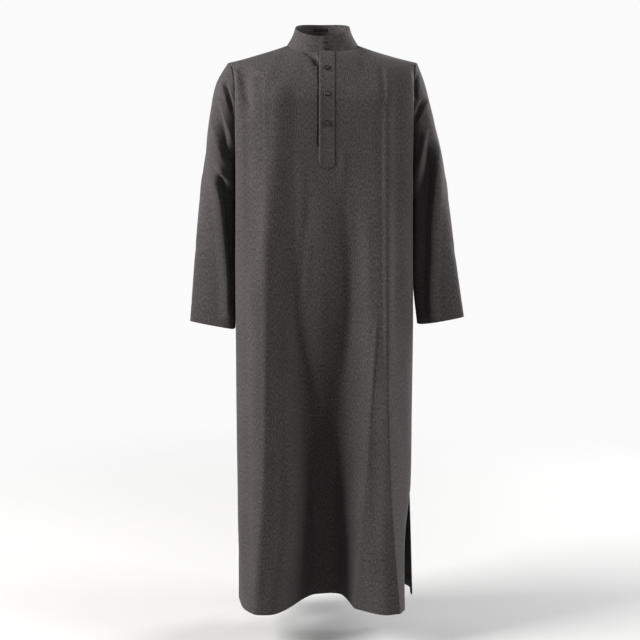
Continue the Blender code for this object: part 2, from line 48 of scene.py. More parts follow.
# the cut, with the solids' own sizes
cut = {
    "shoulderZ": -0.044,
    "yokeZ": -0.14,           # above this the cloth bends over the chest to the shoulder
    "underarmZ": -0.28,
    "slitTopZ": -1.088,
    "hemZ": -1.388,
    "neckHalf": 0.0858,
    "neckFrontY": -0.070,
    "neckBackY": 0.075,
    "neckFrontZ": -0.0245,
    "neckBackZ": 0.018,
    "neckPointY": 0.004,      # where the shoulder seam meets the neckline
    "shoulderHalf": 0.2296,
    "shoulderSag": 0.25,
    "armholeDepth": 0.055,
    "shoulderBend": 2.0,
    "neckBend": 1.45,
    "slashX": -0.0076,        # the cut under the placket's open edge
    "placketHalf": 0.0184,
}

# how the cloth is finished
clothStyle = {
    "solidWall": 0.0016,      # wall of the solids; the sheets' outer faces lie on theirs
    "wall": 0.0008,
    "seamGap": 0.0003,
    "shoulderSeamGap": 0.0009,
    "turnGap": 0.0012,        # from the outer layer to a layer turned in under it
    "seamAllowance": 0.010,
    "slitHem": 0.020,
    "bodyHem": 0.034,
    "cuffHem": 0.043,
}

stations = (-0.20, -0.62, -0.86, -1.088, -1.22, -1.388)    # chest, hip, thigh, slit, calf, hem
slitStations = (-1.088, -1.130, -1.220, -1.388)     # the slit's top, a little below it, calf, hem
sideSeams = {
    "right": ((-0.2100, -0.2140, -0.2138, -0.2122), (0.000, 0.000, -0.008, -0.030),
              {-1: ((0.0001, 0.0004, 0.0012), (-0.003, -0.012, -0.036)),
               1: ((-0.0001, -0.0004, -0.0004), (-0.0015, -0.006, -0.024))}),
    "left": ((0.2185, 0.2228, 0.2226, 0.2210), (0.000, 0.000, 0.000, -0.018),
             {-1: ((-0.0088, -0.0185, -0.0195), (-0.026, -0.058, -0.090)),
              1: ((0.0014, 0.0045, 0.0100), (-0.001, -0.004, -0.009))}),
}

# lines down the front: place across and depth at the stations, and how soft the bend along each
# one is there (0.9 is round, 0.1 is a pressed crease)
frontLines = (
    ((-0.2100, -0.2140, -0.2138, -0.2120, -0.2095, -0.1985),
     (-0.078, -0.072, -0.075, -0.085, -0.100, -0.124), (0.6, 0.6, 0.6, 0.7, 0.8, 0.8)),
    ((-0.184, -0.184, -0.182, -0.180, -0.180, -0.180),
     (-0.104, -0.116, -0.122, -0.130, -0.140, -0.156), (0.9, 0.9, 0.9, 0.9, 0.8, 0.8)),
    ((-0.137, -0.138, -0.139, -0.144, -0.151, -0.164),
     (-0.128, -0.156, -0.162, -0.166, -0.169, -0.174), (0.5, 0.35, 0.12, 0.2, 0.4, 0.7)),
    ((-0.094, -0.090, -0.080, -0.074, -0.082, -0.108),
     (-0.130, -0.140, -0.147, -0.154, -0.162, -0.173), (0.9, 0.9, 0.9, 0.9, 0.9, 0.9)),
    ((-0.054, -0.060, -0.047, -0.034, -0.032, -0.034),
     (-0.131, -0.124, -0.098, -0.066, -0.045, -0.030), (0.9, 0.9, 0.9, 0.9, 0.9, 0.9)),
    ((cut["slashX"], -0.014, -0.006, 0.001, 0.003, 0.004),
     (-0.132, -0.136, -0.104, -0.060, -0.038, -0.020), (0.9, 0.9, 0.9, 0.9, 0.9, 0.9)),
    ((cut["slashX"] + 2 * cut["placketHalf"], 0.030, 0.022, 0.020, 0.022, 0.030),
     (-0.1315, -0.128, -0.096, -0.056, -0.036, -0.017), (0.9, 0.9, 0.9, 0.9, 0.9, 0.9)),
    ((0.060, 0.069, 0.050, 0.040, 0.044, 0.054),
     (-0.131, -0.118, -0.094, -0.064, -0.046, -0.030), (0.9, 0.9, 0.9, 0.9, 0.9, 0.9)),
    ((0.100, 0.115, 0.118, 0.102, 0.092, 0.079),
     (-0.130, -0.146, -0.148, -0.144, -0.138, -0.128), (0.9, 0.7, 0.15, 0.12, 0.12, 0.14)),
    ((0.126, 0.140, 0.139, 0.140, 0.142, 0.148),
     (-0.129, -0.150, -0.154, -0.157, -0.165, -0.180), (0.9, 0.9, 0.9, 0.9, 0.9, 0.9)),
    ((0.155, 0.154, 0.158, 0.165, 0.176, 0.192),
     (-0.124, -0.150, -0.157, -0.160, -0.161, -0.164), (0.3, 0.14, 0.12, 0.12, 0.12, 0.12)),
    ((0.2185, 0.2228, 0.2226, 0.2206, 0.2055, 0.2055),
     (-0.078, -0.074, -0.075, -0.084, -0.112, -0.136), (0.6, 0.6, 0.6, 0.6, 0.6, 0.6)),
)
middlePlace = 6         # the front's line that the cut runs down
placketPlace = 7
backLines = (
    ((-0.2070, -0.2095, -0.2100, -0.2110, -0.2140, -0.2170),
     (0.062, 0.060, 0.055, 0.045, 0.035, 0.020), (0.8, 0.8, 0.8, 0.8, 0.8, 0.8)),
    ((-0.130, -0.138, -0.150, -0.158, -0.163, -0.170),
     (0.112, 0.108, 0.120, 0.130, 0.136, 0.144), (0.8, 0.6, 0.3, 0.25, 0.3, 0.4)),
    ((-0.078, -0.084, -0.092, -0.098, -0.100, -0.104),
     (0.116, 0.102, 0.094, 0.084, 0.078, 0.070), (0.9, 0.9, 0.9, 0.9, 0.9, 0.9)),
    ((0.000, -0.004, -0.012, -0.020, -0.024, -0.028),
     (0.113, 0.110, 0.124, 0.138, 0.146, 0.154), (0.9, 0.8, 0.5, 0.3, 0.3, 0.3)),
    ((0.078, 0.082, 0.078, 0.070, 0.067, 0.064),
     (0.116, 0.102, 0.098, 0.090, 0.086, 0.080), (0.9, 0.9, 0.9, 0.9, 0.9, 0.9)),
    ((0.130, 0.138, 0.144, 0.146, 0.147, 0.148),
     (0.112, 0.108, 0.116, 0.126, 0.132, 0.138), (0.8, 0.6, 0.35, 0.3, 0.3, 0.3)),
    ((0.2150, 0.2170, 0.2185, 0.2210, 0.2260, 0.2310),
     (0.062, 0.060, 0.055, 0.042, 0.038, 0.034), (0.8, 0.8, 0.8, 0.8, 0.8, 0.8)),
)
panelLines = {-1: frontLines, 1: backLines}
slashAngle = math.degrees(math.asin(cut["slashX"] / cut["neckHalf"]))
placketAngle = math.degrees(math.asin((cut["slashX"] + 2 * cut["placketHalf"]) / cut["neckHalf"]))
topStops = {
    -1: ((cut["shoulderHalf"], 0.197, 0.143), (-90, -62, -33, slashAngle, placketAngle, 43, 66, 90)),
    1: ((cut["shoulderHalf"], 0.160), (-90, -135, -180, -225, -270)),
}

# creases and soft waves. Each row: the side it is seen from, its path (across, height) from the top,
# reach to the low and the high side of the path, height out of the cloth (minus is a trough), and
# the lengths over which it fades in and out
frontFolds = (
    # shoulders: creases that slant in from the armholes, and the two chest folds under them
    ("front", ((-0.206, -0.054), (-0.184, -0.068), (-0.160, -0.088)), 0.024, 0.020, -0.0120, 0.008, 0.02),
    ("front", ((-0.202, -0.098), (-0.180, -0.138), (-0.160, -0.195)), 0.014, 0.012, -0.0030, 0.03, 0.05),
    ("front", ((-0.104, -0.085), (-0.108, -0.256), (-0.127, -0.470), (-0.134, -0.640)), 0.034, 0.045, 0.0075, 0.04, 0.2),
    ("front", ((-0.048, -0.260), (-0.052, -0.600)), 0.018, 0.014, 0.0022, 0.1, 0.15),
    ("front", ((-0.193, -0.068), (-0.187, -0.110), (-0.181, -0.190)), 0.017, 0.026, -0.0120, 0.02, 0.09),
    ("front", ((-0.184, -0.120), (-0.180, -0.250), (-0.178, -0.400), (-0.174, -0.560)), 0.015, 0.022, -0.0026, 0.06, 0.25),
    ("front", ((-0.1365, -0.080), (-0.1365, -0.300)), 0.004, 0.012, 0.0015, 0.02, 0.08),
    ("front", ((0.141, -0.052), (0.143, -0.090), (0.146, -0.160)), 0.013, 0.010, -0.0036, 0.02, 0.05),
    ("front", ((0.150, -0.112), (0.151, -0.374), (0.156, -0.700), (0.160, -0.860)), 0.012, 0.022, 0.0040, 0.10, 0.20),
    ("front", ((0.178, -0.100), (0.179, -0.400), (0.180, -0.700)), 0.017, 0.015, -0.0024, 0.05, 0.15),
    # legs: the left one's rounded flank, the soft edges of the trough, and slight folds on both
    ("front", ((-0.162, -0.440), (-0.160, -0.900), (-0.160, -1.360)), 0.024, 0.022, 0.0034, 0.2, 0.06),
    ("front", ((0.131, -0.640), (0.127, -0.740), (0.118, -0.860)), 0.010, 0.006, 0.0022, 0.05, 0.1),
    ("front", ((-0.026, -0.330), (-0.044, -0.469), (-0.056, -0.541), (-0.064, -0.614), (-0.069, -0.687),
               (-0.076, -0.857), (-0.072, -1.031), (-0.060, -1.213)), 0.016, 0.022, -0.0012, 0.1, 0.15),
    ("front", ((0.046, -0.300), (0.050, -0.374), (0.058, -0.469), (0.066, -0.566), (0.067, -0.664),
               (0.058, -0.814), (0.053, -0.993)), 0.018, 0.015, -0.0013, 0.1, 0.15),
    ("front", ((-0.034, -0.420), (-0.036, -0.541), (-0.042, -0.662)), 0.013, 0.012, 0.0020, 0.06, 0.08),
    ("front", ((0.049, -0.240), (0.047, -0.400)), 0.014, 0.014, 0.0018, 0.04, 0.08),
    ("front", ((0.108, -0.380), (0.109, -0.661)), 0.018, 0.014, 0.0014, 0.1, 0.1),
    # the front drawn in under the placket's top, up to the cut
    ("beside", ((-0.042, -0.024), (-0.028, -0.030), (-0.016, -0.038), (-0.005, -0.062)), 0.014, 0.008, -0.0100, 0.004, 0.010),
    ("front", ((-0.050, -0.046), (-0.034, -0.056), (-0.016, -0.084)), 0.009, 0.009, 0.0030, 0.012, 0.02),
    ("front", ((-0.100, -0.420), (-0.104, -0.640)), 0.016, 0.020, 0.0012, 0.1, 0.1),
    ("front", ((-0.116, -0.900), (-0.122, -1.360)), 0.012, 0.012, -0.0014, 0.12, 0.1),
    ("front", ((0.124, -0.640), (0.128, -0.900), (0.134, -1.360)), 0.020, 0.026, -0.0026, 0.25, 0.06),
    ("front", ((0.124, -0.760), (0.104, -1.000), (0.080, -1.290)), 0.006, 0.005, 0.0009, 0.06, 0.04),
)
backFolds = (
    ("back", ((-0.150, -0.070), (-0.120, -0.160), (-0.108, -0.240)), 0.018, 0.016, -0.0040, 0.03, 0.07),
    ("back", ((0.160, -0.066), (0.132, -0.150), (0.118, -0.220)), 0.016, 0.018, -0.0036, 0.03, 0.06),
    ("back", ((-0.040, -0.120), (-0.048, -0.420), (-0.060, -0.640)), 0.016, 0.016, -0.0018, 0.1, 0.15),
    ("back", ((0.046, -0.140), (0.050, -0.420), (0.040, -0.700)), 0.016, 0.016, -0.0016, 0.1, 0.15),
    ("back", ((-0.132, -0.330), (-0.146, -0.900), (-0.165, -1.360)), 0.007, 0.006, 0.0010, 0.15, 0.1),
    ("back", ((0.138, -0.360), (0.144, -0.900), (0.148, -1.360)), 0.006, 0.007, 0.0010, 0.15, 0.1),
    ("back", ((-0.012, -0.700), (-0.022, -1.060), (-0.030, -1.360)), 0.008, 0.006, 0.0012, 0.15, 0.1),
    ("back", ((-0.064, -0.860), (-0.070, -1.350)), 0.014, 0.012, -0.0016, 0.2, 0.1),
    ("back", ((0.108, -0.640), (0.112, -1.350)), 0.012, 0.014, -0.0014, 0.2, 0.1),
    ("back", ((0.020, -0.620), (0.026, -1.340)), 0.014, 0.014, 0.0014, 0.2, 0.1),
)


def blend(a, b, share):
    return a + (b - a) * share


def smooth(share):
    share = min(1.0, max(0.0, share))
    return share * share * (3 - 2 * share)


def through(marks, values, place):
    # the smooth curve through the values at the marks, which may rise or fall
    if (marks[-1] - marks[0]) * (place - marks[0]) <= 0:
        return values[0]
    i = 0
    while i < len(marks) - 2 and (place - marks[i + 1]) * (marks[i + 1] - marks[i]) > 0:
        i += 1
    span = marks[i + 1] - marks[i]
    slopes = []
    for k in (i, i + 1):
        if k == 0:
            slopes.append(0.0)
        elif k == len(marks) - 1:
            slopes.append((values[k] - values[k - 1]) / (marks[k] - marks[k - 1]))
        else:
            slopes.append((values[k + 1] - values[k - 1]) / (marks[k + 1] - marks[k - 1]))
    t = (place - marks[i]) / span
    return (values[i] * (2 * t**3 - 3 * t**2 + 1) + slopes[0] * span * (t**3 - 2 * t**2 + t)
            + values[i + 1] * (3 * t**2 - 2 * t**3) + slopes[1] * span * (t**3 - t**2))


def alongCorners(corners, softness, place):
    # a point on the polygon through the corners, each rounded by its softness
    last = len(corners) - 1
    i = min(last, max(0, round(place)))
    reach = softness[i] / 2
    if 0 < i < last and abs(place - i) < reach:
        before = corners[i].lerp(corners[i - 1], reach)
        after = corners[i].lerp(corners[i + 1], reach)
        t = (place - i + reach) / (2 * reach)
        return before.lerp(corners[i], t).lerp(corners[i].lerp(after, t), t)
    low = min(last - 1, int(math.floor(place)))
    return corners[low].lerp(corners[low + 1], place - low)


def armholeDepth(z):
    rise = (z - cut["yokeZ"]) / (cut["underarmZ"] - cut["yokeZ"])
    return cut["armholeDepth"] * math.sqrt(max(0.0, 1 - rise * rise))


def sidePoint(hand, side, z):
    # a panel's side edge: armhole, side seam, then its own corner of the slit
    across, depth, swings = sideSeams[hand]
    x = through(stations[:4], across, max(z, cut["slitTopZ"]))
    y = through(stations[:4], depth, max(z, cut["slitTopZ"]))
    if z < cut["slitTopZ"]:
        x += through(slitStations, (0.0,) + swings[side][0], z)
        y += through(slitStations, (0.0,) + swings[side][1], z)
    return Vector((x, y, z))


cornerStore = {}
armholeEase = 0.06        # the corner beside an armhole takes up the armhole's depth over this height


def sectionPoint(side, place, z):
    # a point of the front (side -1) or back (side 1) at a height below the yoke
    if (side, z) not in cornerStore:
        corners, softness = [sidePoint("right", side, z)], [0.0]
        for across, depth, soft in panelLines[side]:
            corners.append(Vector((through(stations, across, z), through(stations, depth, z), z)))
            softness.append(through(stations, soft, z))
        corners.append(sidePoint("left", side, z))
        softness.append(0.0)
        trims = [0.0, 0.0]
        if z > cut["underarmZ"]:
            depth = armholeDepth(z)
            eased = depth * smooth((z - cut["underarmZ"]) / armholeEase)
            for k, (end, beside) in enumerate(((0, 1), (-1, -2))):
                corners[end].y += side * eased
                trims[k] = (depth - eased) / abs(corners[beside].y - corners[end].y)
        cornerStore[(side, z)] = corners, softness, trims
    corners, softness, trims = cornerStore[(side, z)]
    last = len(corners) - 1
    if place < 1:
        place += trims[0] * (1 - place)
    elif place > last - 1:
        place -= trims[1] * (place - last + 1)
    return alongCorners(corners, softness, place)


def lastPlace(side):
    return len(panelLines[side]) + 1


def neckline(angle):
    # the neckline at an angle in degrees from the front middle; positive is the wearer's left
    turn = math.radians(angle)
    reach = math.cos(turn)
    if reach >= 0:
        y = blend(cut["neckPointY"], cut["neckFrontY"], reach)
    else:
        y = blend(cut["neckPointY"], cut["neckBackY"], -reach)
    share = (y - cut["neckFrontY"]) / (cut["neckBackY"] - cut["neckFrontY"])
    return Vector((cut["neckHalf"] * math.sin(turn), y, blend(cut["neckFrontZ"], cut["neckBackZ"], share)))


def shoulder(x):
    share = (abs(x) - cut["neckHalf"]) / (cut["shoulderHalf"] - cut["neckHalf"])
    drop = share * (1 + cut["shoulderSag"] * (1 - share))
    return Vector((x, cut["neckPointY"], blend(neckline(90).z, cut["shoulderZ"], drop)))


def topEdge(side, place):
    # shoulder seam, neckline, shoulder seam
    seamStops, neckStops = topStops[side]
    last = lastPlace(side)
    outward = min(place, last - place)
    if outward < len(seamStops):
        hand = -1 if place < last / 2 else 1
        stops = seamStops + (cut["neckHalf"],)
        low = int(outward)
        return shoulder(hand * blend(stops[low], stops[low + 1], outward - low))
    reach = place - len(seamStops)
    low = min(int(reach), len(neckStops) - 2)
    return neckline(blend(neckStops[low], neckStops[low + 1], reach - low))


def panelPoint(side, place, row):
    # row runs from 0 at the hem to 1 at the underarm, 2 at the yoke and 3 at the top edge
    if row <= 1:
        return sectionPoint(side, place, blend(cut["hemZ"], cut["underarmZ"], row))
    if row <= 2:
        z = cut["yokeZ"] + (cut["underarmZ"] - cut["yokeZ"]) * math.cos((row - 1) * math.pi / 2)
        return sectionPoint(side, place, z)
    turn = (row - 2) * math.pi / 2
    below = sectionPoint(side, place, cut["yokeZ"])
    above = topEdge(side, place)
    neckness = smooth(min(place, lastPlace(side) - place) / (len(topStops[side][0]) + 1))
    power = 2 / blend(cut["shoulderBend"], cut["neckBend"], neckness)
    level = 1 - max(0.0, math.cos(turn)) ** power
    rise = math.sin(turn) ** power
    return Vector((blend(below.x, above.x, level), blend(below.y, above.y, level),
                   blend(below.z, above.z, rise)))


def rowAt(z):
    return (z - cut["hemZ"]) / (cut["underarmZ"] - cut["hemZ"])


def bell(t):
    return (1 - t * t) ** 2 if abs(t) < 1 else 0.0


def foldShift(folds, point, outward):
    # how far the creases and waves lift the cloth at a point
    total = 0.0
    for view, path, low, high, height, fadeIn, fadeOut in folds:
        top, foot = path[0][1], path[-1][1]
        if not foot < point.z < top:
            continue
        across = point.x if view in ("front", "beside", "back") else point.y
        facing = {"front": -outward.y, "beside": -outward.y, "back": outward.y, "right": -outward.x,
                  "left": outward.x}[view]
        if facing <= 0 or view == "beside" and point.x > cut["slashX"] - 1e-6:
            continue
        centre = through([p[1] for p in path], [p[0] for p in path], point.z)
        slope = (top - foot) / math.hypot(top - foot, path[-1][0] - path[0][0])
        aside = (across - centre) * slope
        t = aside / (high if aside > 0 else low)
        if abs(t) < 1:
            fade = smooth((top - point.z) / fadeIn) * smooth((point.z - foot) / fadeOut)
            total += height * bell(t) * fade * smooth(facing / 0.5)
    return total


# slow waves in the cloth: size of a wave across and down, and its height
waves = ((0.060, 0.26, 0.0011), (0.024, 0.12, 0.0004))


def waveShift(point, seed):
    total = 0.0
    for across, down, height in waves:
        total += height * noise.noise(Vector((point.x / across, point.z / down + point.y / across, seed)))
    return total


def outwardGrid(points, closed=False):
    # the outward direction at each point of a grid whose rows run up and whose columns run round
    rows, columns = len(points), len(points[0])
    result = []
    for j in range(rows):
        line = []
        for i in range(columns):
            if closed:
                ahead = points[j][1] if i == columns - 1 else points[j][i + 1]
                behind = points[j][columns - 2] if i == 0 else points[j][i - 1]
            else:
                ahead, behind = points[j][min(i + 1, columns - 1)], points[j][max(i - 1, 0)]
            up = points[min(j + 1, rows - 1)][i] - points[max(j - 1, 0)][i]
            line.append((ahead - behind).cross(up).normalized())
        result.append(line)
    return result


def makeKnots(points, middle, closed=False):
    # each knot: point, outward direction and its place on the flat cloth
    outs = outwardGrid(points, closed)
    down = 0.0
    knots = []
    for j in reversed(range(len(points))):
        if j < len(points) - 1:
            down += (points[j][middle] - points[j + 1][middle]).length
        along = [0.0]
        for a, b in zip(points[j], points[j][1:]):
            along.append(along[-1] + (b - a).length)
        knots.append([(p, o, s - along[middle], -down) for p, o, s in zip(points[j], outs[j], along)])
    return list(reversed(knots))


def knotAt(line, distance):
    # the knot at a distance along a line of knots
    walked = 0.0
    for a, b in zip(line, line[1:]):
        step = (b[0] - a[0]).length
        if walked + step >= distance or b is line[-1]:
            t = (distance - walked) / max(step, 1e-9)
            return (a[0].lerp(b[0], t), a[1].lerp(b[1], t).normalized(), blend(a[2], b[2], t), blend(a[3], b[3], t))
        walked += step


def turnedIn(line, width, gap):
    # the line of knots with its first end turned in under itself
    steps = ((width, 1.0), (width * 0.5, 1.0), (gap * 0.6, 1.0), (gap * 0.15, 0.85), (0.0, 0.5),
             (gap * 0.15, 0.15), (gap * 0.6, 0.0))
    result = []
    for k, (distance, depth) in enumerate(steps):
        point, out, u, v = knotAt(line, distance)
        extra = distance if k < 4 else 0.0      # the turned layer carries on past the fold on the flat cloth
        du, dv = line[0][2] - u, line[0][3] - v
        reach = math.hypot(du, dv)
        if extra and reach > 1e-9:
            u, v = line[0][2] + du * extra / reach, line[0][3] + dv * extra / reach
        result.append((point - out * gap * depth, out, u, v))
    return result + line[1:]


def turnedSides(knots, widths, gap):
    # both ends of each row turned in; widths gives the width at a knot's height
    result = []
    for line in knots:
        line = turnedIn(line, widths(line[0][0].z), gap)
        line = turnedIn(list(reversed(line)), widths(line[-1][0].z), gap)
        result.append(list(reversed(line)))
    return result


def turnedEnd(knots, width, gaps):
    # the first row turned in; gaps gives each column's distance to the turned layer
    columns = []
    for i in range(len(knots[0])):
        columns.append(turnedIn([line[i] for line in knots], width, gaps[i]))
    return [[column[j] for column in columns] for j in range(len(columns[0]))]


def gridMesh(name, knots, closed=False, split=None):
    # a mesh of the knots, from a grid whose vertices are placed in turn
    rows, columns = len(knots), len(knots[0])
    mesh = bpy.data.meshes.new(name)
    shape = bmesh.new()
    bmesh.ops.create_grid(shape, x_segments=columns - 1, y_segments=rows - 1, size=1)
    shape.verts.ensure_lookup_table()
    flat = shape.loops.layers.uv.new("cloth")
    for j in range(rows):
        for i in range(columns):
            vert = shape.verts[j * columns + i]
            vert.co = knots[j][i][0]
            for loop in vert.link_loops:
                loop[flat].uv = knots[j][i][2:]
    if split:
        split(shape)
    if closed:
        bmesh.ops.remove_doubles(shape, verts=shape.verts, dist=1e-6)
    for face in shape.faces:
        face.smooth = True
    shape.to_mesh(mesh)
    shape.free()
    return mesh


def addPiece(mesh, material):
    piece = bpy.data.objects.new(mesh.name, mesh)
    bpy.context.scene.collection.objects.link(piece)
    mesh.materials.append(material)
    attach(piece, "root")
    return piece


def addWall(piece, thickness, offset, roundness=0.0):
    wall = piece.modifiers.new("wall", "SOLIDIFY")
    wall.thickness = thickness
    wall.offset = offset
    wall.use_quality_normals = True
    if roundness:
        soft = piece.modifiers.new("roundEdge", "BEVEL")
        soft.width = roundness
        soft.segments = 3
        soft.limit_method = "ANGLE"
        soft.angle_limit = math.radians(50)
        soft.harden_normals = False


# ---- cloth, thread, resin and label finishes
def newMaterial(name, roughness):
    material = bpy.data.materials.new(name)
    material.use_nodes = True
    shader = material.node_tree.nodes["Principled BSDF"]
    shader.inputs["Roughness"].default_value = roughness
    return material, material.node_tree.nodes, material.node_tree.links, shader


def flatCoordinates(nodes, links, scale):
    uv = nodes.new("ShaderNodeUVMap")
    uv.uv_map = "cloth"
    mapping = nodes.new("ShaderNodeMapping")
    mapping.inputs["Scale"].default_value = scale
    links.new(uv.outputs["UV"], mapping.inputs["Vector"])
    return mapping.outputs["Vector"]


def noiseNode(nodes, links, vector, scale, detail, roughness=0.55):
    node = nodes.new("ShaderNodeTexNoise")
    node.inputs["Scale"].default_value = scale
    node.inputs["Detail"].default_value = detail
    node.inputs["Roughness"].default_value = roughness
    links.new(vector, node.inputs["Vector"])
    return node.outputs["Fac"]


def ramped(nodes, links, factor, low, high, start, end):
    ramp = nodes.new("ShaderNodeValToRGB")
    ramp.color_ramp.elements[0].position = start
    ramp.color_ramp.elements[0].color = (*low, 1)
    ramp.color_ramp.elements[1].position = end
    ramp.color_ramp.elements[1].color = (*high, 1)
    links.new(factor, ramp.inputs["Fac"])
    return ramp.outputs["Color"]


def mixed(nodes, links, kind, factor, a, b):
    mix = nodes.new("ShaderNodeMix")
    mix.data_type = "RGBA"
    mix.blend_type = kind
    mix.inputs["Factor"].default_value = factor
    links.new(a, mix.inputs["A"])
    links.new(b, mix.inputs["B"])
    return mix.outputs["Result"]


suitingStyle = {
    "dark": (0.045, 0.0395, 0.0385),
    "light": (0.118, 0.105, 0.102),
    "mottle": 350.0,          # blotches of the melange, per metre of cloth
    "stretch": 0.42,          # how much longer they are down the cloth than across
    "fleck": 900.0,
    "weave": 1500.0,          # threads per metre
    "bump": 0.00035,
}


def suitingMaterial(name, shade=1.0):
    style = suitingStyle
    material, nodes, links, shader = newMaterial(name, 0.86)
    shader.inputs["Specular IOR Level"].default_value = 0.28
    shader.inputs["Sheen Weight"].default_value = 0.22
    shader.inputs["Sheen Roughness"].default_value = 0.45
    shader.inputs["Sheen Tint"].default_value = (0.62, 0.58, 0.57, 1)
    along = flatCoordinates(nodes, links, (1.0, style["stretch"], 1.0))
    across = flatCoordinates(nodes, links, (style["stretch"], 1.0, 1.0))
    # shade below 1 makes a darker copy of the same cloth: painted shade
    dark = tuple(c * shade for c in style["dark"])
    light = tuple(c * shade for c in style["light"])
    mottle = noiseNode(nodes, links, along, style["mottle"], 4.0, 0.68)
    base = ramped(nodes, links, mottle, dark, light, 0.38, 0.64)
    fleck = noiseNode(nodes, links, across, style["fleck"], 2.0)
    tint = ramped(nodes, links, fleck, (0.66, 0.65, 0.65), (1.34, 1.35, 1.36), 0.28, 0.72)
    cloud = noiseNode(nodes, links, along, 18.0, 2.0)
    wear = ramped(nodes, links, cloud, (0.93, 0.93, 0.93), (1.07, 1.07, 1.07), 0.3, 0.7)
    colour = mixed(nodes, links, "MULTIPLY", 1.0, base, tint)
    colour = mixed(nodes, links, "MULTIPLY", 1.0, colour, wear)
    links.new(colour, shader.inputs["Base Color"])
    # plain weave from two crossed waves, with slubs
    waveFields = []
    for direction in ("X", "Y"):
        wave = nodes.new("ShaderNodeTexWave")
        wave.wave_type = "BANDS"
        wave.bands_direction = direction
        wave.inputs["Scale"].default_value = style["weave"] / 10
        wave.inputs["Distortion"].default_value = 0.6
        wave.inputs["Detail"].default_value = 1.0
        links.new(flatCoordinates(nodes, links, (1, 1, 1)), wave.inputs["Vector"])
        waveFields.append(wave.outputs["Fac"])
    weave = nodes.new("ShaderNodeMath")
    weave.operation = "MULTIPLY"
    links.new(waveFields[0], weave.inputs[0])
    links.new(waveFields[1], weave.inputs[1])
    height = nodes.new("ShaderNodeMath")
    height.operation = "ADD"
    links.new(weave.outputs[0], height.inputs[0])
    links.new(mottle, height.inputs[1])
    bump = nodes.new("ShaderNodeBump")
    bump.inputs["Strength"].default_value = 0.55
    bump.inputs["Distance"].default_value = style["bump"]
    links.new(height.outputs[0], bump.inputs["Height"])
    links.new(bump.outputs["Normal"], shader.inputs["Normal"])
    return material


def threadMaterial(name, low, high):
    material, nodes, links, shader = newMaterial(name, 0.6)
    shader.inputs["Specular IOR Level"].default_value = 0.35
    place = nodes.new("ShaderNodeTexCoord")
    twist = noiseNode(nodes, links, place.outputs["Object"], 2600.0, 1.0)
    links.new(ramped(nodes, links, twist, low, high, 0.35, 0.65), shader.inputs["Base Color"])
    return material


def resinMaterial(name, low, high):
    material, nodes, links, shader = newMaterial(name, 0.32)
    shader.inputs["Specular IOR Level"].default_value = 0.5
    shader.inputs["Coat Weight"].default_value = 0.15
    shader.inputs["Coat Roughness"].default_value = 0.2
    place = nodes.new("ShaderNodeTexCoord")
    swirl = noiseNode(nodes, links, place.outputs["Object"], 160.0, 3.0)
    links.new(ramped(nodes, links, swirl, low, high, 0.3, 0.7), shader.inputs["Base Color"])
    rough = noiseNode(nodes, links, place.outputs["Object"], 900.0, 2.0)
    links.new(ramped(nodes, links, rough, (0.26,) * 3, (0.42,) * 3, 0.3, 0.7), shader.inputs["Roughness"])
    return material


def satinMaterial(name):
    material, nodes, links, shader = newMaterial(name, 0.5)
    shader.inputs["Sheen Weight"].default_value = 0.1
    rib = nodes.new("ShaderNodeTexWave")
    rib.bands_direction = "Y"
    rib.inputs["Scale"].default_value = 260.0
    rib.inputs["Distortion"].default_value = 0.3
    links.new(flatCoordinates(nodes, links, (1, 1, 1)), rib.inputs["Vector"])
    links.new(ramped(nodes, links, rib.outputs["Fac"], (0.006, 0.006, 0.007), (0.013, 0.013, 0.014), 0.2, 0.8),
              shader.inputs["Base Color"])
    bump = nodes.new("ShaderNodeBump")
    bump.inputs["Strength"].default_value = 0.4
    bump.inputs["Distance"].default_value = 0.00015
    links.new(rib.outputs["Fac"], bump.inputs["Height"])
    links.new(bump.outputs["Normal"], shader.inputs["Normal"])
    return material


suiting = suitingMaterial("suiting")
# the same suiting darkened to 0.8: painted shade for the strip under the placket, seen only in the shadow of the cut
shadedSuiting = suitingMaterial("shadedSuiting", 0.8)
thread = threadMaterial("thread", (0.15, 0.137, 0.133), (0.24, 0.22, 0.215))
# near-black thread for the painted shadow line along the placket strip's border
shadowLineThread = threadMaterial("shadowLineThread", (0.012, 0.011, 0.011), (0.03, 0.027, 0.026))
buttonThread = threadMaterial("buttonThread", (0.045, 0.040, 0.039), (0.085, 0.077, 0.075))
resin = resinMaterial("resin", (0.060, 0.053, 0.051), (0.120, 0.107, 0.103))
# near-black resin for the buttons' rims: partly their own dark rim, partly painted shade and contact shadow round their
# edges
rimResinAndShade = resinMaterial("rimResinAndShade", (0.004, 0.004, 0.004), (0.010, 0.009, 0.009))
satin = satinMaterial("satin")
print("materials made")

# ---- front and back
panelStyle = {
    "columnsPerLine": {-1: 11, 1: 16},
    "crowding": 0.10,         # draws the columns towards the lines, where the creases are
    "rowsBelow": 205,
    "rowsPerArc": 36,
    "seamFade": 0.022,        # creases die out this close to a seam
    "neckFade": 0.016,
}


def panelPlaces(side):
    per = panelStyle["columnsPerLine"][side]
    places = []
    for i in range(lastPlace(side) * per + 1):
        whole, part = divmod(i, per)
        t = part / per
        places.append(whole + t - panelStyle["crowding"] * math.sin(2 * math.pi * t) / 2)
    return places


def panelRows():
    below = [i / panelStyle["rowsBelow"] for i in range(panelStyle["rowsBelow"])]
    return below + [1 + i / panelStyle["rowsPerArc"] for i in range(2 * panelStyle["rowsPerArc"] + 1)]


def liftedSheet(points, lift, shift, closed=False):
    # the grid moved out along its own normals by lift plus the shift at each point
    outs = outwardGrid(points, closed)
    return [[p + o * (lift + shift(p, o, j, i)) for i, (p, o) in enumerate(zip(line, out))]
            for j, (line, out) in enumerate(zip(points, outs))]


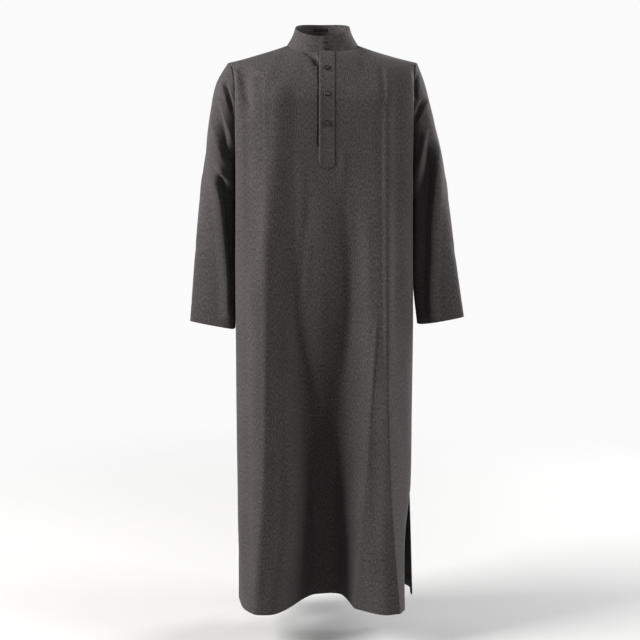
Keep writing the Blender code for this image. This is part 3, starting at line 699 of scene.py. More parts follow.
def seamShares(points, fade, topFade):
    # 0 at the side and top edges, 1 away from them
    rows, columns = len(points), len(points[0])
    result = []
    tops = [0.0] * columns
    ups = [[0.0] * columns for _ in range(rows)]
    for j in reversed(range(rows - 1)):
        for i in range(columns):
            tops[i] += (points[j][i] - points[j + 1][i]).length
            ups[j][i] = tops[i]
    for j in range(rows):
        along = [0.0]
        for a, b in zip(points[j], points[j][1:]):
            along.append(along[-1] + (b - a).length)
        result.append([smooth(min(s, along[-1] - s) / fade) * smooth(ups[j][i] / topFade)
                       for i, s in enumerate(along)])
    return result


def panelPoints(side, folds, seed):
    last = lastPlace(side)
    places = panelPlaces(side)
    points = [[panelPoint(side, place, row) for place in places] for row in panelRows()]
    for line in points:
        for end in (0, -1):
            line[end].y += side * clothStyle["seamGap"] / 2
    for place, point in zip(places, points[-1]):
        if min(place, last - place) < len(topStops[side][0]) + 1e-6:
            point.y += side * clothStyle["shoulderSeamGap"] / 2
    if side > 0:
        points = [list(reversed(line)) for line in points]
    shares = seamShares(points, panelStyle["seamFade"], panelStyle["neckFade"])
    hemLine = cut["hemZ"] + clothStyle["bodyHem"]

    def shift(point, outward, j, i):
        hem = -0.0004 * bell((point.z - hemLine) / 0.005)
        return shares[j][i] * (foldShift(folds, point, outward) + waveShift(point, seed)) + hem

    return liftedSheet(points, clothStyle["solidWall"] / 2, shift)


slash = {
    "gap": 0.0006,
    "heights": (-0.02, -0.036, -0.052, -0.082, -0.105, -0.140, -0.185, -0.222, -0.240, -0.252),
    "gapes": (0.0, 0.0002, 0.0032, 0.0036, 0.0022, 0.0034, 0.0024, 0.0048, 0.0058, 0.0040),
    "footRow": 1.4,
    "reach": 0.014,           # how far from the cut the cloth is drawn aside
}


def panelKnots(side, points):
    middle = middlePlace * panelStyle["columnsPerLine"][side] if side < 0 else len(points[0]) // 2
    knots = makeKnots(points, middle)

    def widths(z):
        slit = smooth((cut["slitTopZ"] + 0.01 - z) / 0.012)
        return blend(clothStyle["seamAllowance"], clothStyle["slitHem"], slit)

    gap = clothStyle["turnGap"]
    knots = turnedSides(knots, widths, gap)
    turned = 7                # columns that the turned edge takes at each side
    gaps = []
    for i, knot in enumerate(knots[0]):
        fromEdge = min(i, len(knots[0]) - 1 - i)
        if fromEdge < turned - 3:
            gaps.append(gap * 2)
        else:
            reach = min((knot[0] - knots[0][turned - 3][0]).length, (knot[0] - knots[0][-turned + 2][0]).length)
            gaps.append(gap * (1 + 2 * (1 - smooth((reach - clothStyle["slitHem"]) / 0.008))))
    knots = turnedEnd(knots, clothStyle["bodyHem"], gaps)
    knots = [list(line) for line in reversed(knots)]
    knots = turnedEnd(knots, clothStyle["seamAllowance"] * 0.8, [gap] * len(knots[0]))
    return [list(line) for line in reversed(knots)]


def openSlash(shape):
    # splits the front down its middle line and draws the two edges apart
    rowList = panelRows()
    extra = 6                 # rows that the hem's turned edge adds
    columns = len(panelPlaces(-1)) + 12
    middle = middlePlace * panelStyle["columnsPerLine"][-1] + 6
    foot = next(j for j, row in enumerate(rowList) if row >= slash["footRow"] - 1e-6) + extra
    line = [shape.verts[j * columns + middle] for j in range(foot, len(rowList) + 2 * extra)]
    inLine = set(line)
    edges = [e for e in shape.edges if e.verts[0] in inLine and e.verts[1] in inLine]
    footPoint = line[0].co.copy()
    centreOf = {}
    for vert in shape.verts:
        if vert.co.z > footPoint.z - 0.02 and abs(vert.co.x - cut["slashX"]) < slash["reach"] + 0.01:
            if vert.co.y < 0:
                centreOf[vert] = None
    opened = bmesh.ops.split_edges(shape, edges=edges)["edges"]
    cutVerts = {v for edge in opened for v in edge.verts}
    moves = {}
    for vert in shape.verts:
        if vert.co.y > 0 or vert.co.z < footPoint.z:
            continue
        aside = vert.co.x - cut["slashX"]
        if abs(aside) > slash["reach"]:
            continue
        if vert in cutVerts:
            centre = sum(f.calc_center_median().x for f in vert.link_faces) / len(vert.link_faces)
            hand = 1 if centre > vert.co.x else -1
        else:
            hand = 1 if aside > 0 else -1
        gape = through(slash["heights"], slash["gapes"], max(vert.co.z, slash["heights"][-1]))
        foot = smooth((vert.co.z - footPoint.z) / 0.012)
        pull = slash["gap"] / 2 if hand > 0 else -slash["gap"] / 2 - gape
        moves[vert] = pull * foot * (1 - abs(aside) / slash["reach"]) ** 2
    for vert, pull in moves.items():
        vert.co.x += pull


def makePanel(name, side, folds, seed, flat, area, split=None):
    points = panelPoints(side, folds, seed)
    mesh = gridMesh(name, panelKnots(side, points), split=split)
    piece = addPiece(mesh, suiting)
    addWall(piece, clothStyle["wall"], -1)
    return piece, points


frontPiece, frontPoints = makePanel("frontPanel", -1, frontFolds, 3.7, (0.80, 1.47), 1.0, openSlash)
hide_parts("front")
backPiece, backPoints = makePanel("backPanel", 1, backFolds, 9.1, (0.72, 1.50), 0.95)
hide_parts("back")
print("front and back made")

# ---- sleeves
# Sections down the arm: share of the way to the cuff, outer edge (across, height), inner edge
# (across, height), middle depth, half depth, and how far the front fold lies towards the body.
sleeveStyle = {
    "right": (
        (0.00, 0.2296, -0.044, 0.2100, -0.280, 0.000, 0.060, 0.00),
        (0.10, 0.2595, -0.093, 0.2135, -0.310, 0.004, 0.066, 0.02),
        (0.24, 0.2772, -0.170, 0.2172, -0.360, 0.010, 0.064, -0.05),
        (0.40, 0.2920, -0.275, 0.2180, -0.420, 0.017, 0.056, 0.05),
        (0.58, 0.3089, -0.395, 0.2185, -0.495, 0.023, 0.049, 0.30),
        (0.78, 0.3225, -0.530, 0.2190, -0.590, 0.028, 0.042, 0.62),
        (1.00, 0.3360, -0.686, 0.2225, -0.703, 0.032, 0.036, 0.85),
    ),
    "left": (
        (0.00, 0.2296, -0.044, 0.2185, -0.280, 0.000, 0.060, 0.00),
        (0.10, 0.2500, -0.093, 0.2225, -0.310, 0.004, 0.066, 0.02),
        (0.24, 0.2708, -0.170, 0.2258, -0.360, 0.008, 0.064, -0.30),
        (0.40, 0.2968, -0.275, 0.2268, -0.420, 0.013, 0.056, -0.38),
        (0.58, 0.3168, -0.395, 0.2272, -0.495, 0.018, 0.049, -0.10),
        (0.78, 0.3360, -0.530, 0.2290, -0.585, 0.022, 0.042, 0.20),
        (1.00, 0.3590, -0.674, 0.2414, -0.691, 0.026, 0.036, 0.42),
    ),
    "capShare": 0.30,         # the sleeve takes the armhole's shape over this share of its length
    "backFold": 0.5,
    "ease": 0.0005,
    "underarm": (0.2, 0.8),
    "around": 148,
    "rows": 220,
}
sleeveFolds = {
    "right": (
        ("front", ((-0.236, -0.088), (-0.225, -0.130), (-0.212, -0.176)), 0.010, 0.008, -0.0110, 0.015, 0.03),
        ("front", ((-0.264, -0.130), (-0.240, -0.216), (-0.214, -0.300)), 0.025, 0.016, -0.0170, 0.04, 0.04),
        ("front", ((-0.256, -0.284), (-0.235, -0.325), (-0.215, -0.368)), 0.013, 0.011, 0.0100, 0.03, 0.03),
        ("front", ((-0.248, -0.306), (-0.232, -0.370), (-0.223, -0.471), (-0.217, -0.574), (-0.217, -0.684)),
         0.022, 0.022, -0.0220, 0.04, 0.05),
        ("front", ((-0.262, -0.300), (-0.249, -0.370), (-0.239, -0.471), (-0.233, -0.574), (-0.232, -0.690)),
         0.032, 0.012, 0.0065, 0.05, 0.02),
        ("right", ((-0.020, -0.180), (0.030, -0.300)), 0.024, 0.020, -0.0016, 0.04, 0.05),
        ("right", ((0.010, -0.300), (0.050, -0.400)), 0.020, 0.018, 0.0014, 0.03, 0.04),
        ("right", ((-0.010, -0.440), (0.040, -0.530)), 0.020, 0.018, -0.0012, 0.03, 0.04),
        ("back", ((-0.250, -0.140), (-0.236, -0.230), (-0.218, -0.320)), 0.016, 0.014, -0.0070, 0.04, 0.05),
        ("back", ((-0.274, -0.250), (-0.252, -0.330), (-0.226, -0.400)), 0.014, 0.014, 0.0050, 0.03, 0.04),
        ("back", ((-0.290, -0.340), (-0.262, -0.430), (-0.234, -0.500)), 0.018, 0.014, -0.0050, 0.04, 0.05),
        ("back", ((-0.300, -0.480), (-0.290, -0.640)), 0.016, 0.016, -0.0020, 0.05, 0.08),
    ),
    "left": (
        ("front", ((0.225, -0.072), (0.223, -0.142)), 0.009, 0.009, -0.0125, 0.015, 0.02),
        ("front", ((0.248, -0.128), (0.234, -0.158), (0.219, -0.190)), 0.010, 0.011, -0.0145, 0.015, 0.02),
        ("front", ((0.250, -0.196), (0.238, -0.290), (0.226, -0.386)), 0.013, 0.011, 0.0085, 0.04, 0.04),
        ("front", ((0.264, -0.218), (0.262, -0.281), (0.255, -0.360), (0.250, -0.439), (0.250, -0.519),
                   (0.248, -0.602), (0.252, -0.684)), 0.020, 0.020, -0.0180, 0.05, 0.05),
        ("front", ((0.264, -0.215), (0.272, -0.281), (0.273, -0.360), (0.270, -0.439), (0.270, -0.519),
                   (0.268, -0.602), (0.274, -0.690)), 0.012, 0.030, 0.0060, 0.05, 0.02),
        ("left", ((-0.010, -0.170), (0.036, -0.290)), 0.022, 0.022, -0.0016, 0.04, 0.05),
        ("left", ((0.000, -0.310), (0.044, -0.400)), 0.020, 0.018, 0.0014, 0.03, 0.04),
        ("left", ((-0.014, -0.450), (0.034, -0.540)), 0.020, 0.018, -0.0012, 0.03, 0.04),
        ("back", ((0.250, -0.150), (0.240, -0.235), (0.226, -0.320)), 0.014, 0.016, -0.0070, 0.04, 0.05),
        ("back", ((0.278, -0.260), (0.256, -0.340), (0.234, -0.410)), 0.014, 0.014, 0.0050, 0.03, 0.04),
        ("back", ((0.300, -0.350), (0.276, -0.440), (0.244, -0.510)), 0.014, 0.018, -0.0050, 0.04, 0.05),
        ("back", ((0.322, -0.500), (0.318, -0.640)), 0.016, 0.016, -0.0020, 0.05, 0.08),
    ),
}


def armhole(hand, angle):
    # the armhole's edge at an angle: 0 at the shoulder, 90 in front, 180 underarm
    side = -1 if angle <= 180 else 1
    turn = angle if side < 0 else 360 - angle
    return panelPoint(side, 0 if hand < 0 else lastPlace(side), 3 - turn / 90)


def sleevePoint(table, hand, angle, share):
    shares = [row[0] for row in table]
    outerX, outerZ, innerX, innerZ, middle, half, fold = (
        through(shares, [row[k] for row in table], share) for k in range(1, 8))
    turn = math.radians(angle)
    lean = fold if angle <= 180 else fold * sleeveStyle["backFold"]
    reach = math.cos(turn + lean * math.sin(turn))
    x = (outerX + innerX) / 2 + (outerX - innerX) / 2 * reach
    z = (outerZ + innerZ) / 2 + (outerZ - innerZ) / 2 * reach
    return Vector((hand * x, middle - half * math.sin(turn), z))


def sleeveWallPoint(table, hand, angle, share):
    point = sleevePoint(table, hand, angle, share)
    if share < sleeveStyle["capShare"]:
        start = armhole(hand, angle)
        low, high = sleeveStyle["underarm"]
        underarm = smooth((-math.cos(math.radians(angle)) - low) / (high - low))
        half = clothStyle["solidWall"] / 2
        start.x += hand * (half + clothStyle["seamGap"] + sleeveStyle["ease"] + half * underarm)
        point += (start - sleevePoint(table, hand, angle, 0)) * (1 - share / sleeveStyle["capShare"]) ** 2
    return point


def makeSleeve(name, side, seed, flat, area):
    hand = -1 if side == "right" else 1
    table, folds = sleeveStyle[side], sleeveFolds[side]
    around, rows = sleeveStyle["around"], sleeveStyle["rows"]
    points = []
    for j in range(rows + 1):
        share = 1 - j / rows
        ring = [sleeveWallPoint(table, hand, (180 - hand * 360 * i / around) % 360, share) for i in range(around)]
        points.append(ring + [ring[0].copy()])

    def shift(point, outward, j, i):
        share = 1 - j / rows
        fromCap = smooth(share / 0.045)
        hem = -0.0004 * bell((share - 0.934) / 0.008)
        return fromCap * (foldShift(folds, point, outward) + 0.8 * waveShift(point, seed)) + hem

    points = liftedSheet(points, clothStyle["solidWall"] / 2, shift, closed=True)
    knots = makeKnots(points, around // 4 if hand < 0 else around * 3 // 4, closed=True)
    gaps = [clothStyle["turnGap"]] * (around + 1)
    knots = turnedEnd(knots, clothStyle["cuffHem"], gaps)
    knots = [list(line) for line in reversed(knots)]
    knots = turnedEnd(knots, clothStyle["seamAllowance"] * 0.7, gaps)
    knots = [list(line) for line in reversed(knots)]
    piece = addPiece(gridMesh(name, knots, closed=True), suiting)
    addWall(piece, clothStyle["wall"], -1)
    return piece, points


rightSleeve, rightSleevePoints = makeSleeve("rightSleeve", "right", 14.3, (0.36, 0.72), 0.24)
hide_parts("sleeve_right")
leftSleeve, leftSleevePoints = makeSleeve("leftSleeve", "left", 21.9, (0.36, 0.72), 0.24)
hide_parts("sleeve_left")
print("sleeves made")

# ---- collar stand
collarStyle = {
    "wall": 0.0024,
    "topHalf": 0.0655,
    "topFrontY": -0.058,
    "topBackY": 0.069,
    "topFrontZ": 0.0152,
    "topBackZ": 0.0543,
    "lift": 0.0018,           # the stand starts this far above the neckline
    "lip": (0.0027, 0.0022),  # in and down from its foot, where the neckline is sewn to it
    "hollow": 0.0028,
    "rise": 1.6,
    "underEnd": 19.0,         # degrees past the front middle that the under end reaches
    "step": (-26.0, -6.0),    # where the stand steps in under its over end
    "columns": 220,
    "rows": 18,
}


def collarPoint(angle, height):
    style = collarStyle
    turn = math.radians(angle)
    base = neckline(angle)
    reach = math.cos(turn)
    backward = (1 - reach) / 2
    y = blend(style["topFrontY"], style["topBackY"], backward)
    z = blend(style["topFrontZ"], style["topBackZ"], 1 - (1 - backward) ** style["rise"])
    top = Vector((style["topHalf"] * math.sin(turn), y, z))
    base = base + (top - base).normalized() * style["lift"]
    point = base.lerp(top, height)
    outward = Vector((math.sin(turn), -reach, 0))
    point -= outward * style["hollow"] * abs(math.sin(turn)) * math.sin(math.pi * height)
    start, end = style["step"]
    under = smooth((angle - start) / (end - start))
    return point - outward * (style["wall"] + clothStyle["seamGap"]) * under


def collarOutward(angle, height):
    step = 1e-3
    point = collarPoint(angle, height)
    along = collarPoint(angle + step, height) - point
    up = collarPoint(angle, height + step) - point
    return along.cross(up).normalized()


def makeCollar():
    style = collarStyle
    first, last = style["underEnd"], slashAngle - 360
    angles = [blend(last, first, i / style["columns"]) for i in range(style["columns"] + 1)]
    points = [[collarPoint(angle, j / style["rows"]) for angle in angles] for j in range(style["rows"] + 1)]
    inward, down = style["lip"]
    for share in (0.5, 1.0):
        points.insert(0, [collarPoint(angle, 0) - Vector((0, 0, down * share))
                          - Vector((math.sin(math.radians(angle)), -math.cos(math.radians(angle)), 0)) * inward * share
                          for angle in angles])
    knots = makeKnots(points, style["columns"] // 2)
    piece = addPiece(gridMesh("collarStand", knots), suiting)
    addWall(piece, style["wall"], 0, 0.0009)
    return piece, knots


collarPiece, collarKnots = makeCollar()
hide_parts("collar")
print("collar made")

# ---- placket strip, the strip under it, and the label
stripStyle = {
    "wall": 0.0012,
    "round": 0.0004,
    "pointZ": -0.303,
    "cornerZ": -0.2912,
    "topRow": 2.985,
    "underFoot": 1.2,
    "underSide": 1 / 3,       # how far the under strip reaches past the cut, in line places
    "underTop": 2.98,
    "openEdge": (-0.0002, 0.0013, 0.0009, 0.0003),     # how far its first columns stand off
}


def frontAt(place, row):
    # a point of the front's outer face
    places, rowList = panelPlaces(-1), panelRows()
    i = max(k for k, p in enumerate(places[:-1]) if p <= place + 1e-9)
    j = max(k for k, r in enumerate(rowList[:-1]) if r <= row + 1e-9)
    s = (place - places[i]) / (places[i + 1] - places[i])
    t = (row - rowList[j]) / (rowList[j + 1] - rowList[j])
    low = frontPoints[j][i].lerp(frontPoints[j][i + 1], s)
    high = frontPoints[j + 1][i].lerp(frontPoints[j + 1][i + 1], s)
    return low.lerp(high, t)


def stripKnots(first, last, columns, footRows, topRow, lift):
    places = [blend(first, last, i / columns) for i in range(columns + 1)]
    rowList = [r for r in panelRows() if max(footRows) + 1e-3 < r < topRow - 1e-3] + [topRow]
    points = [[frontAt(place, foot) for place, foot in zip(places, footRows)]]
    points += [[frontAt(place, row) for place in places] for row in rowList]
    points = liftedSheet(points, lift, lambda p, o, j, i: 0.0)
    return makeKnots(points, columns // 2)


def makePlacket():
    columns = 12
    corner, point = rowAt(stripStyle["cornerZ"]), rowAt(stripStyle["pointZ"])
    feet = [blend(point, corner, abs(2 * i / columns - 1)) for i in range(columns + 1)]
    lift = clothStyle["seamGap"] + stripStyle["wall"] / 2
    knots = stripKnots(middlePlace, placketPlace, columns, feet, stripStyle["topRow"], lift)
    for line in knots[1:]:
        for i, raised in enumerate(stripStyle["openEdge"]):
            line[i] = (line[i][0] + line[i][1] * raised,) + line[i][1:]
    piece = addPiece(gridMesh("placketStrip", knots), suiting)
    addWall(piece, stripStyle["wall"], 0, stripStyle["round"])
    return piece, knots


placketPiece, placketKnots = makePlacket()
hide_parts("placket")


def makeUnderlap():
    columns = 14
    lift = -(clothStyle["solidWall"] + clothStyle["seamGap"] + stripStyle["wall"] / 2)
    feet = [stripStyle["underFoot"]] * (columns + 1)
    knots = stripKnots(middlePlace - stripStyle["underSide"], placketPlace, columns, feet, stripStyle["underTop"], lift)
    # the under strip wears the darkened copy of the cloth: painted shade
    piece = addPiece(gridMesh("underStrip", knots), shadedSuiting)
    addWall(piece, stripStyle["wall"], 0, stripStyle["round"])
    return piece


underlapPiece = makeUnderlap()
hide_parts("underlap")

labelStyle = {"width": 0.031, "height": 0.0068, "angle": -176.0, "share": 0.66, "wall": 0.0010}


def makeLabel():
    style = labelStyle
    halfAngle = math.degrees(style["width"] / 2 / collarStyle["topHalf"])
    standHeight = (collarPoint(style["angle"], 1) - collarPoint(style["angle"], 0)).length
    halfShare = style["height"] / 2 / standHeight
    lift = collarStyle["wall"] / 2 + clothStyle["seamGap"] * 2 + style["wall"] / 2
    columns, rows = 24, 6
    points = []
    for j in range(rows + 1):
        share = style["share"] + blend(-halfShare, halfShare, j / rows)
        line = []
        for i in range(columns + 1):
            angle = style["angle"] + blend(halfAngle, -halfAngle, i / columns)
            line.append(collarPoint(angle, share) - collarOutward(angle, share) * lift)
        points.append(line)
    piece = addPiece(gridMesh("neckLabel", makeKnots(points, columns // 2)), satin)
    addWall(piece, style["wall"], 0, 0.0003)
    return piece


labelPiece = makeLabel()
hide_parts("neck_label")
print("strips and label made")

# ---- buttons
buttonStyle = {
    "radius": 0.0065,
    "height": 0.0024,
    "holeRadius": 0.00085,
    "holeSpread": 0.00155,
    "turns": 48,
    "dish": 0.62,             # share of the radius inside the rim
    "rimFrom": 0.66,          # share of the radius where the rim's near-black resin starts: partly the rim's own dark resin, partly painted shade and contact shadow round its edge
    "facings": (("button_1", (0.02, -0.88, 0.47)), ("button_2", (0.0, -0.98, 0.18)), ("button_3", (0.0, -1.0, 0.0)),
                ("collar_button_1", (0.11, -0.95, 0.31)), ("collar_button_2", (0.12, -0.95, 0.28))),
}


def makeButton(name, node, outward):
    style = buttonStyle
    radius = style["radius"]
    dish = radius * style["dish"]
    shape = bmesh.new()
    # the rim, turned from the dish round the outside to the underside
    profile = ((dish, 0.0016), (radius * 0.70, 0.00175), (radius * 0.80, 0.0023), (radius * 0.88, 0.0024),
               (radius * 0.96, 0.0021), (radius, 0.0015), (radius * 0.985, 0.0009), (radius * 0.90, 0.0003),
               (radius * 0.80, 0.0001), (dish, 0.0001))
    verts = [shape.verts.new((r, 0, h)) for r, h in profile]
    edges = [shape.edges.new(pair) for pair in zip(verts, verts[1:])]
    bmesh.ops.spin(shape, geom=verts + edges, cent=(0, 0, 0), axis=(0, 0, 1), angle=2 * math.pi,
                   steps=style["turns"], use_merge=True)
    bmesh.ops.remove_doubles(shape, verts=shape.verts, dist=1e-6)
    # the dish, with four holes through it
    for height in (0.0016, 0.0001):
        ring = [e for e in shape.edges if e.is_boundary and all(abs(v.co.z - height) < 1e-6 for v in e.verts)]
        holes = []
        for cornerX, cornerY in ((1, 1), (-1, 1), (-1, -1), (1, -1)):
            place = Matrix.Translation((cornerX * style["holeSpread"], cornerY * style["holeSpread"], height))
            made = bmesh.ops.create_circle(shape, segments=14, radius=style["holeRadius"], matrix=place)
            holes += list({e for v in made["verts"] for e in v.link_edges})
        bmesh.ops.triangle_fill(shape, use_beauty=True, edges=ring + holes)
    uppers = [e for e in shape.edges if e.is_boundary and e.verts[0].co.z > 0.001]
    walls = bmesh.ops.extrude_edge_only(shape, edges=uppers)["geom"]
    lowered = [v for v in walls if isinstance(v, bmesh.types.BMVert)]
    bmesh.ops.translate(shape, verts=lowered, vec=(0, 0, 0.0001 - 0.0016))
    bmesh.ops.remove_doubles(shape, verts=shape.verts, dist=1e-6)
    bmesh.ops.recalc_face_normals(shape, faces=shape.faces)
    low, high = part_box(node)
    centre = (Vector(low) + Vector(high)) / 2
    spin = Vector((0, 0, 1)).rotation_difference(outward).to_matrix().to_4x4()
    place = Matrix.Translation(centre - outward * style["height"] / 2) @ spin
    bmesh.ops.transform(shape, matrix=place, verts=shape.verts)
    for face in shape.faces:
        face.smooth = True
        # faces out past rimFrom take the near-black rim resin, partly painted shade round the button's edge
        face.material_index = int((face.calc_center_median() - centre).length > radius * style["rimFrom"])
    mesh = bpy.data.meshes.new(name)
    shape.to_mesh(mesh)
    shape.free()
    mesh.set_sharp_from_angle(angle=math.radians(35))
    piece = addPiece(mesh, resin)
    mesh.materials.append(rimResinAndShade)
    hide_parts(node)
    return piece, place


def addStitch(shape, centre, along, outward, length, width, height):
    across = along.cross(outward).normalized()
    turn = Matrix((along.normalized(), across, outward)).transposed().to_4x4()
    size = Matrix.Diagonal((length / 2, width / 2, height / 2, 1))
    bmesh.ops.create_icosphere(shape, subdivisions=1, radius=1, matrix=Matrix.Translation(centre) @ turn @ size)


def finishStitches(name, shape, material):
    for face in shape.faces:
        face.smooth = True
    mesh = bpy.data.meshes.new(name)
    shape.to_mesh(mesh)
    shape.free()
    return addPiece(mesh, material)


buttonPlaces = []
for number, (node, facing) in enumerate(buttonStyle["facings"], 1):
    piece, place = makeButton(f"button{number}", node, Vector(facing).normalized())
    buttonPlaces.append(place)

# two bars of thread across each button's holes
threadShape = bmesh.new()
for place in buttonPlaces:
    turn = place.to_3x3()
    for side in (1, -1):
        spread = buttonStyle["holeSpread"]
        for step in (-1, 0, 1):
            centre = place @ Vector((side * spread + step * 0.00022, 0, 0.0019 - abs(step) * 0.0001))
            addStitch(threadShape, centre, turn @ Vector((0, 1, 0)), turn @ Vector((0, 0, 1)),
                      2 * spread + 0.0010, 0.0004, 0.0004)
finishStitches("buttonThread", threadShape, buttonThread)
print("buttons made")

# ---- stitching
stitchStyle = {"pitch": 0.0030, "length": 0.0022, "width": 0.0007, "height": 0.00040, "inset": 0.0022,
               "tackHeights": (-0.2552, -0.2472), "tackReach": (-0.260, -0.242), "tackColumn": 4,
               "slitInset": 0.018, "openTo": -0.254, "shadowLineLength": 0.0028, "shadowLineWidth": 0.0016}


def stitchAlong(shape, path, pitch, length, width, height, lift=0.0001):
    # path is a list of (point, outward); stitches lie end to end along it
    walked, nextPlace = 0.0, pitch / 2
    for (a, outA), (b, outB) in zip(path, path[1:]):
        step = (b - a).length
        while step > 1e-9 and walked + step >= nextPlace:
            t = (nextPlace - walked) / step
            outward = outA.lerp(outB, t).normalized()
            along = (b - a).normalized()
            along = (along - outward * along.dot(outward)).normalized()
            addStitch(shape, a.lerp(b, t) + outward * lift, along, outward, length, width, height)
            nextPlace += pitch
        walked += step


def insetPath(lines, inset, face):
    # on each line of knots, the place at a distance from its first end, moved out to its face
    path = []
    for line in lines:
        knot = knotAt(line, inset)
        path.append((knot[0] + knot[1] * face, knot[1]))
    return path


placketStitches = bmesh.new()
face = stripStyle["wall"] / 2
style = (stitchStyle["pitch"], stitchStyle["length"], stitchStyle["width"], stitchStyle["height"])
lines = placketKnots[1:]
stitchAlong(placketStitches, insetPath([list(reversed(l)) for l in lines], stitchStyle["inset"], face), *style)
stitchAlong(placketStitches, insetPath(lines, stitchStyle["inset"], face), *style)
columnLines = [[line[i] for line in placketKnots] for i in range(1, len(placketKnots[0]) - 1)]
stitchAlong(placketStitches, insetPath(columnLines, stitchStyle["inset"], face), *style)
for z in stitchStyle["tackHeights"]:
    line = min(lines, key=lambda l: abs(l[len(l) // 2][0].z - z))
    stitchAlong(placketStitches, [(k[0] + k[1] * face, k[1]) for k in line[stitchStyle["tackColumn"]:-1]], *style)
low, high = stitchStyle["tackReach"]
upright = [l[stitchStyle["tackColumn"]] for l in lines if low < l[0][0].z < high]
stitchAlong(placketStitches, [(k[0] + k[1] * face, k[1]) for k in upright], *style)
stitches = finishStitches("placketStitching", placketStitches, thread)
# painted shadow line: a row of near-black thread that sinks in at the strip's edge, round its foot and up its closed
# side, standing in for the shadow along the strip's border
shadowLineStitches = bmesh.new()
foot = placketKnots[0]
closed = [line[-1] for line in placketKnots[1:]]
opening = [line[0] for line in placketKnots[1:] if line[0][0].z < stitchStyle["openTo"]]
around = list(reversed(closed)) + list(reversed(foot)) + opening
stitchAlong(shadowLineStitches, [(k[0] - k[1] * face, k[1]) for k in around], stitchStyle["pitch"], stitchStyle["shadowLineLength"],
            stitchStyle["shadowLineWidth"], stitchStyle["height"])
finishStitches("shadowLineStitching", shadowLineStitches, shadowLineThread)

# stitches down the slits' hems
slitStitches = bmesh.new()
for points in (frontPoints, backPoints):
    slitKnots = makeKnots([line for line in points if line[0].z < cut["slitTopZ"]], 1)
    for lines in (slitKnots, [list(reversed(line)) for line in slitKnots]):
        stitchAlong(slitStitches, insetPath(lines, stitchStyle["slitInset"], 0.0), *style)
slitStitching = finishStitches("slitStitching", slitStitches, thread)

# buttonholes: close stitches down both sides of each slit
holeStitches = bmesh.new()
for place, upright in zip(buttonPlaces, (True, True, True, False, False)):
    turn = place.to_3x3()
    along = turn @ Vector((0, 1, 0) if upright else (1, 0, 0))
    outward = turn @ Vector((0, 0, 1))
    aside = along.cross(outward).normalized()
    foot = place @ Vector((0, 0, -0.00022))
    for k in range(-13, 14):
        for side in (1, -1):
            addStitch(holeStitches, foot + along * k * 0.0006 + aside * side * 0.0008, aside, outward,
                      0.0010, 0.00052, 0.00024)
finishStitches("buttonholes", holeStitches, buttonThread)
print("stitching made")

# ---- floor, lights and camera
floorStyle = {
    "z": -1.480,
    "half": 3.2,
    "pale": (0.84, 0.84, 0.835, 1),
    "dim": (0.22, 0.22, 0.22, 1),       # how it counts as a source of light
    "fadeFrom": 0.7,
    "fadeTo": 2.6,
}
floorMesh = bpy.data.meshes.new("floor")
floorShape = bmesh.new()
bmesh.ops.create_grid(floorShape, x_segments=2, y_segments=2, size=floorStyle["half"],
                      matrix=Matrix.Translation((0, 0, floorStyle["z"])))
floorShape.to_mesh(floorMesh)
floorShape.free()
floor = bpy.data.objects.new("floor", floorMesh)
bpy.context.scene.collection.objects.link(floor)
floorMaterial, nodes, links, shader = newMaterial("floor", 0.9)
rays = nodes.new("ShaderNodeLightPath")
tone = nodes.new("ShaderNodeMix")
tone.data_type = "RGBA"
tone.inputs["A"].default_value = floorStyle["dim"]
tone.inputs["B"].default_value = floorStyle["pale"]
links.new(rays.outputs["Is Camera Ray"], tone.inputs["Factor"])
links.new(tone.outputs["Result"], shader.inputs["Base Color"])
# it fades out into the pale backdrop
place = nodes.new("ShaderNodeTexCoord")
level = nodes.new("ShaderNodeMapping")
level.inputs["Scale"].default_value = (1, 1, 0)
links.new(place.outputs["Object"], level.inputs["Vector"])
reach = nodes.new("ShaderNodeVectorMath")
reach.operation = "LENGTH"
links.new(level.outputs["Vector"], reach.inputs[0])
fade = nodes.new("ShaderNodeMapRange")
fade.interpolation_type = "SMOOTHSTEP"
fade.inputs["From Min"].default_value = floorStyle["fadeFrom"]
fade.inputs["From Max"].default_value = floorStyle["fadeTo"]
fade.inputs["To Min"].default_value = 1.0
fade.inputs["To Max"].default_value = 0.0
links.new(reach.outputs["Value"], fade.inputs["Value"])
links.new(fade.outputs["Result"], shader.inputs["Alpha"])
floorMesh.materials.append(floorMaterial)

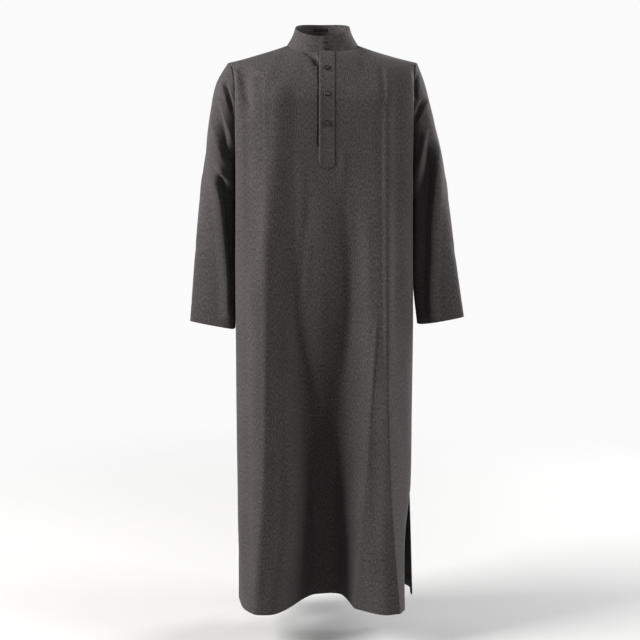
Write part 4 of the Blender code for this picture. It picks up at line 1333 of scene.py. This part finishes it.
lightStyle = (
    # name, place, what it points at, width, height, power, colour
    ("key", (-3.80, -1.18, 1.3), (0.0, 0.0, -0.10), 1.9, 2.2, 262.0, (1.0, 0.985, 0.975)),
    ("side", (3.86, -1.04, 0.5), (0.0, 0.0, -0.35), 1.8, 2.4, 88.0, (0.985, 0.99, 1.0)),
    ("front", (0.4, -3.60, 0.9), (0.0, 0.0, -0.6), 3.6, 2.0, 20.0, (1.0, 1.0, 1.0)),
    ("backKey", (3.2, 2.70, 0.5), (0.0, 0.0, -0.55), 1.6, 2.6, 150.0, (1.0, 1.0, 1.0)),
    ("backSide", (-3.2, 3.00, 0.2), (0.0, 0.0, -0.55), 2.0, 2.6, 50.0, (1.0, 1.0, 1.0)),
)
for name, place, target, width, height, power, colour in lightStyle:
    light = bpy.data.lights.new(name, "AREA")
    light.shape = "RECTANGLE"
    light.size, light.size_y = width, height
    light.energy = power
    light.color = colour
    lamp = bpy.data.objects.new(name, light)
    bpy.context.scene.collection.objects.link(lamp)
    lamp.location = place
    lamp.rotation_euler = (Vector(target) - Vector(place)).to_track_quat("-Z", "Y").to_euler()

world = bpy.data.worlds.new("studio")
bpy.context.scene.world = world
world.use_nodes = True
worldNodes, worldLinks = world.node_tree.nodes, world.node_tree.links
background = worldNodes["Background"]
background.inputs["Color"].default_value = (1, 1, 1, 1)
# a pale backdrop to look at, and a dim one as a source of light
rays = worldNodes.new("ShaderNodeLightPath")
strength = worldNodes.new("ShaderNodeMapRange")
strength.inputs["To Min"].default_value = 0.016
strength.inputs["To Max"].default_value = 0.96
worldLinks.new(rays.outputs["Is Camera Ray"], strength.inputs["Value"])
worldLinks.new(strength.outputs["Result"], background.inputs["Strength"])

cameraStyle = {"place": (-0.0061, -3.05, -0.2726), "down": 7.6, "lens": 68.68}
camera = bpy.data.cameras.new("camera")
camera.sensor_width = 36
camera.lens = cameraStyle["lens"]
cameraObject = bpy.data.objects.new("camera", camera)
bpy.context.scene.collection.objects.link(cameraObject)
cameraObject.location = cameraStyle["place"]
cameraObject.rotation_euler = (math.radians(90 - cameraStyle["down"]), 0, 0)
bpy.context.scene.camera = cameraObject
bpy.context.scene.view_settings.view_transform = "Standard"
print("stage, lights and camera set")
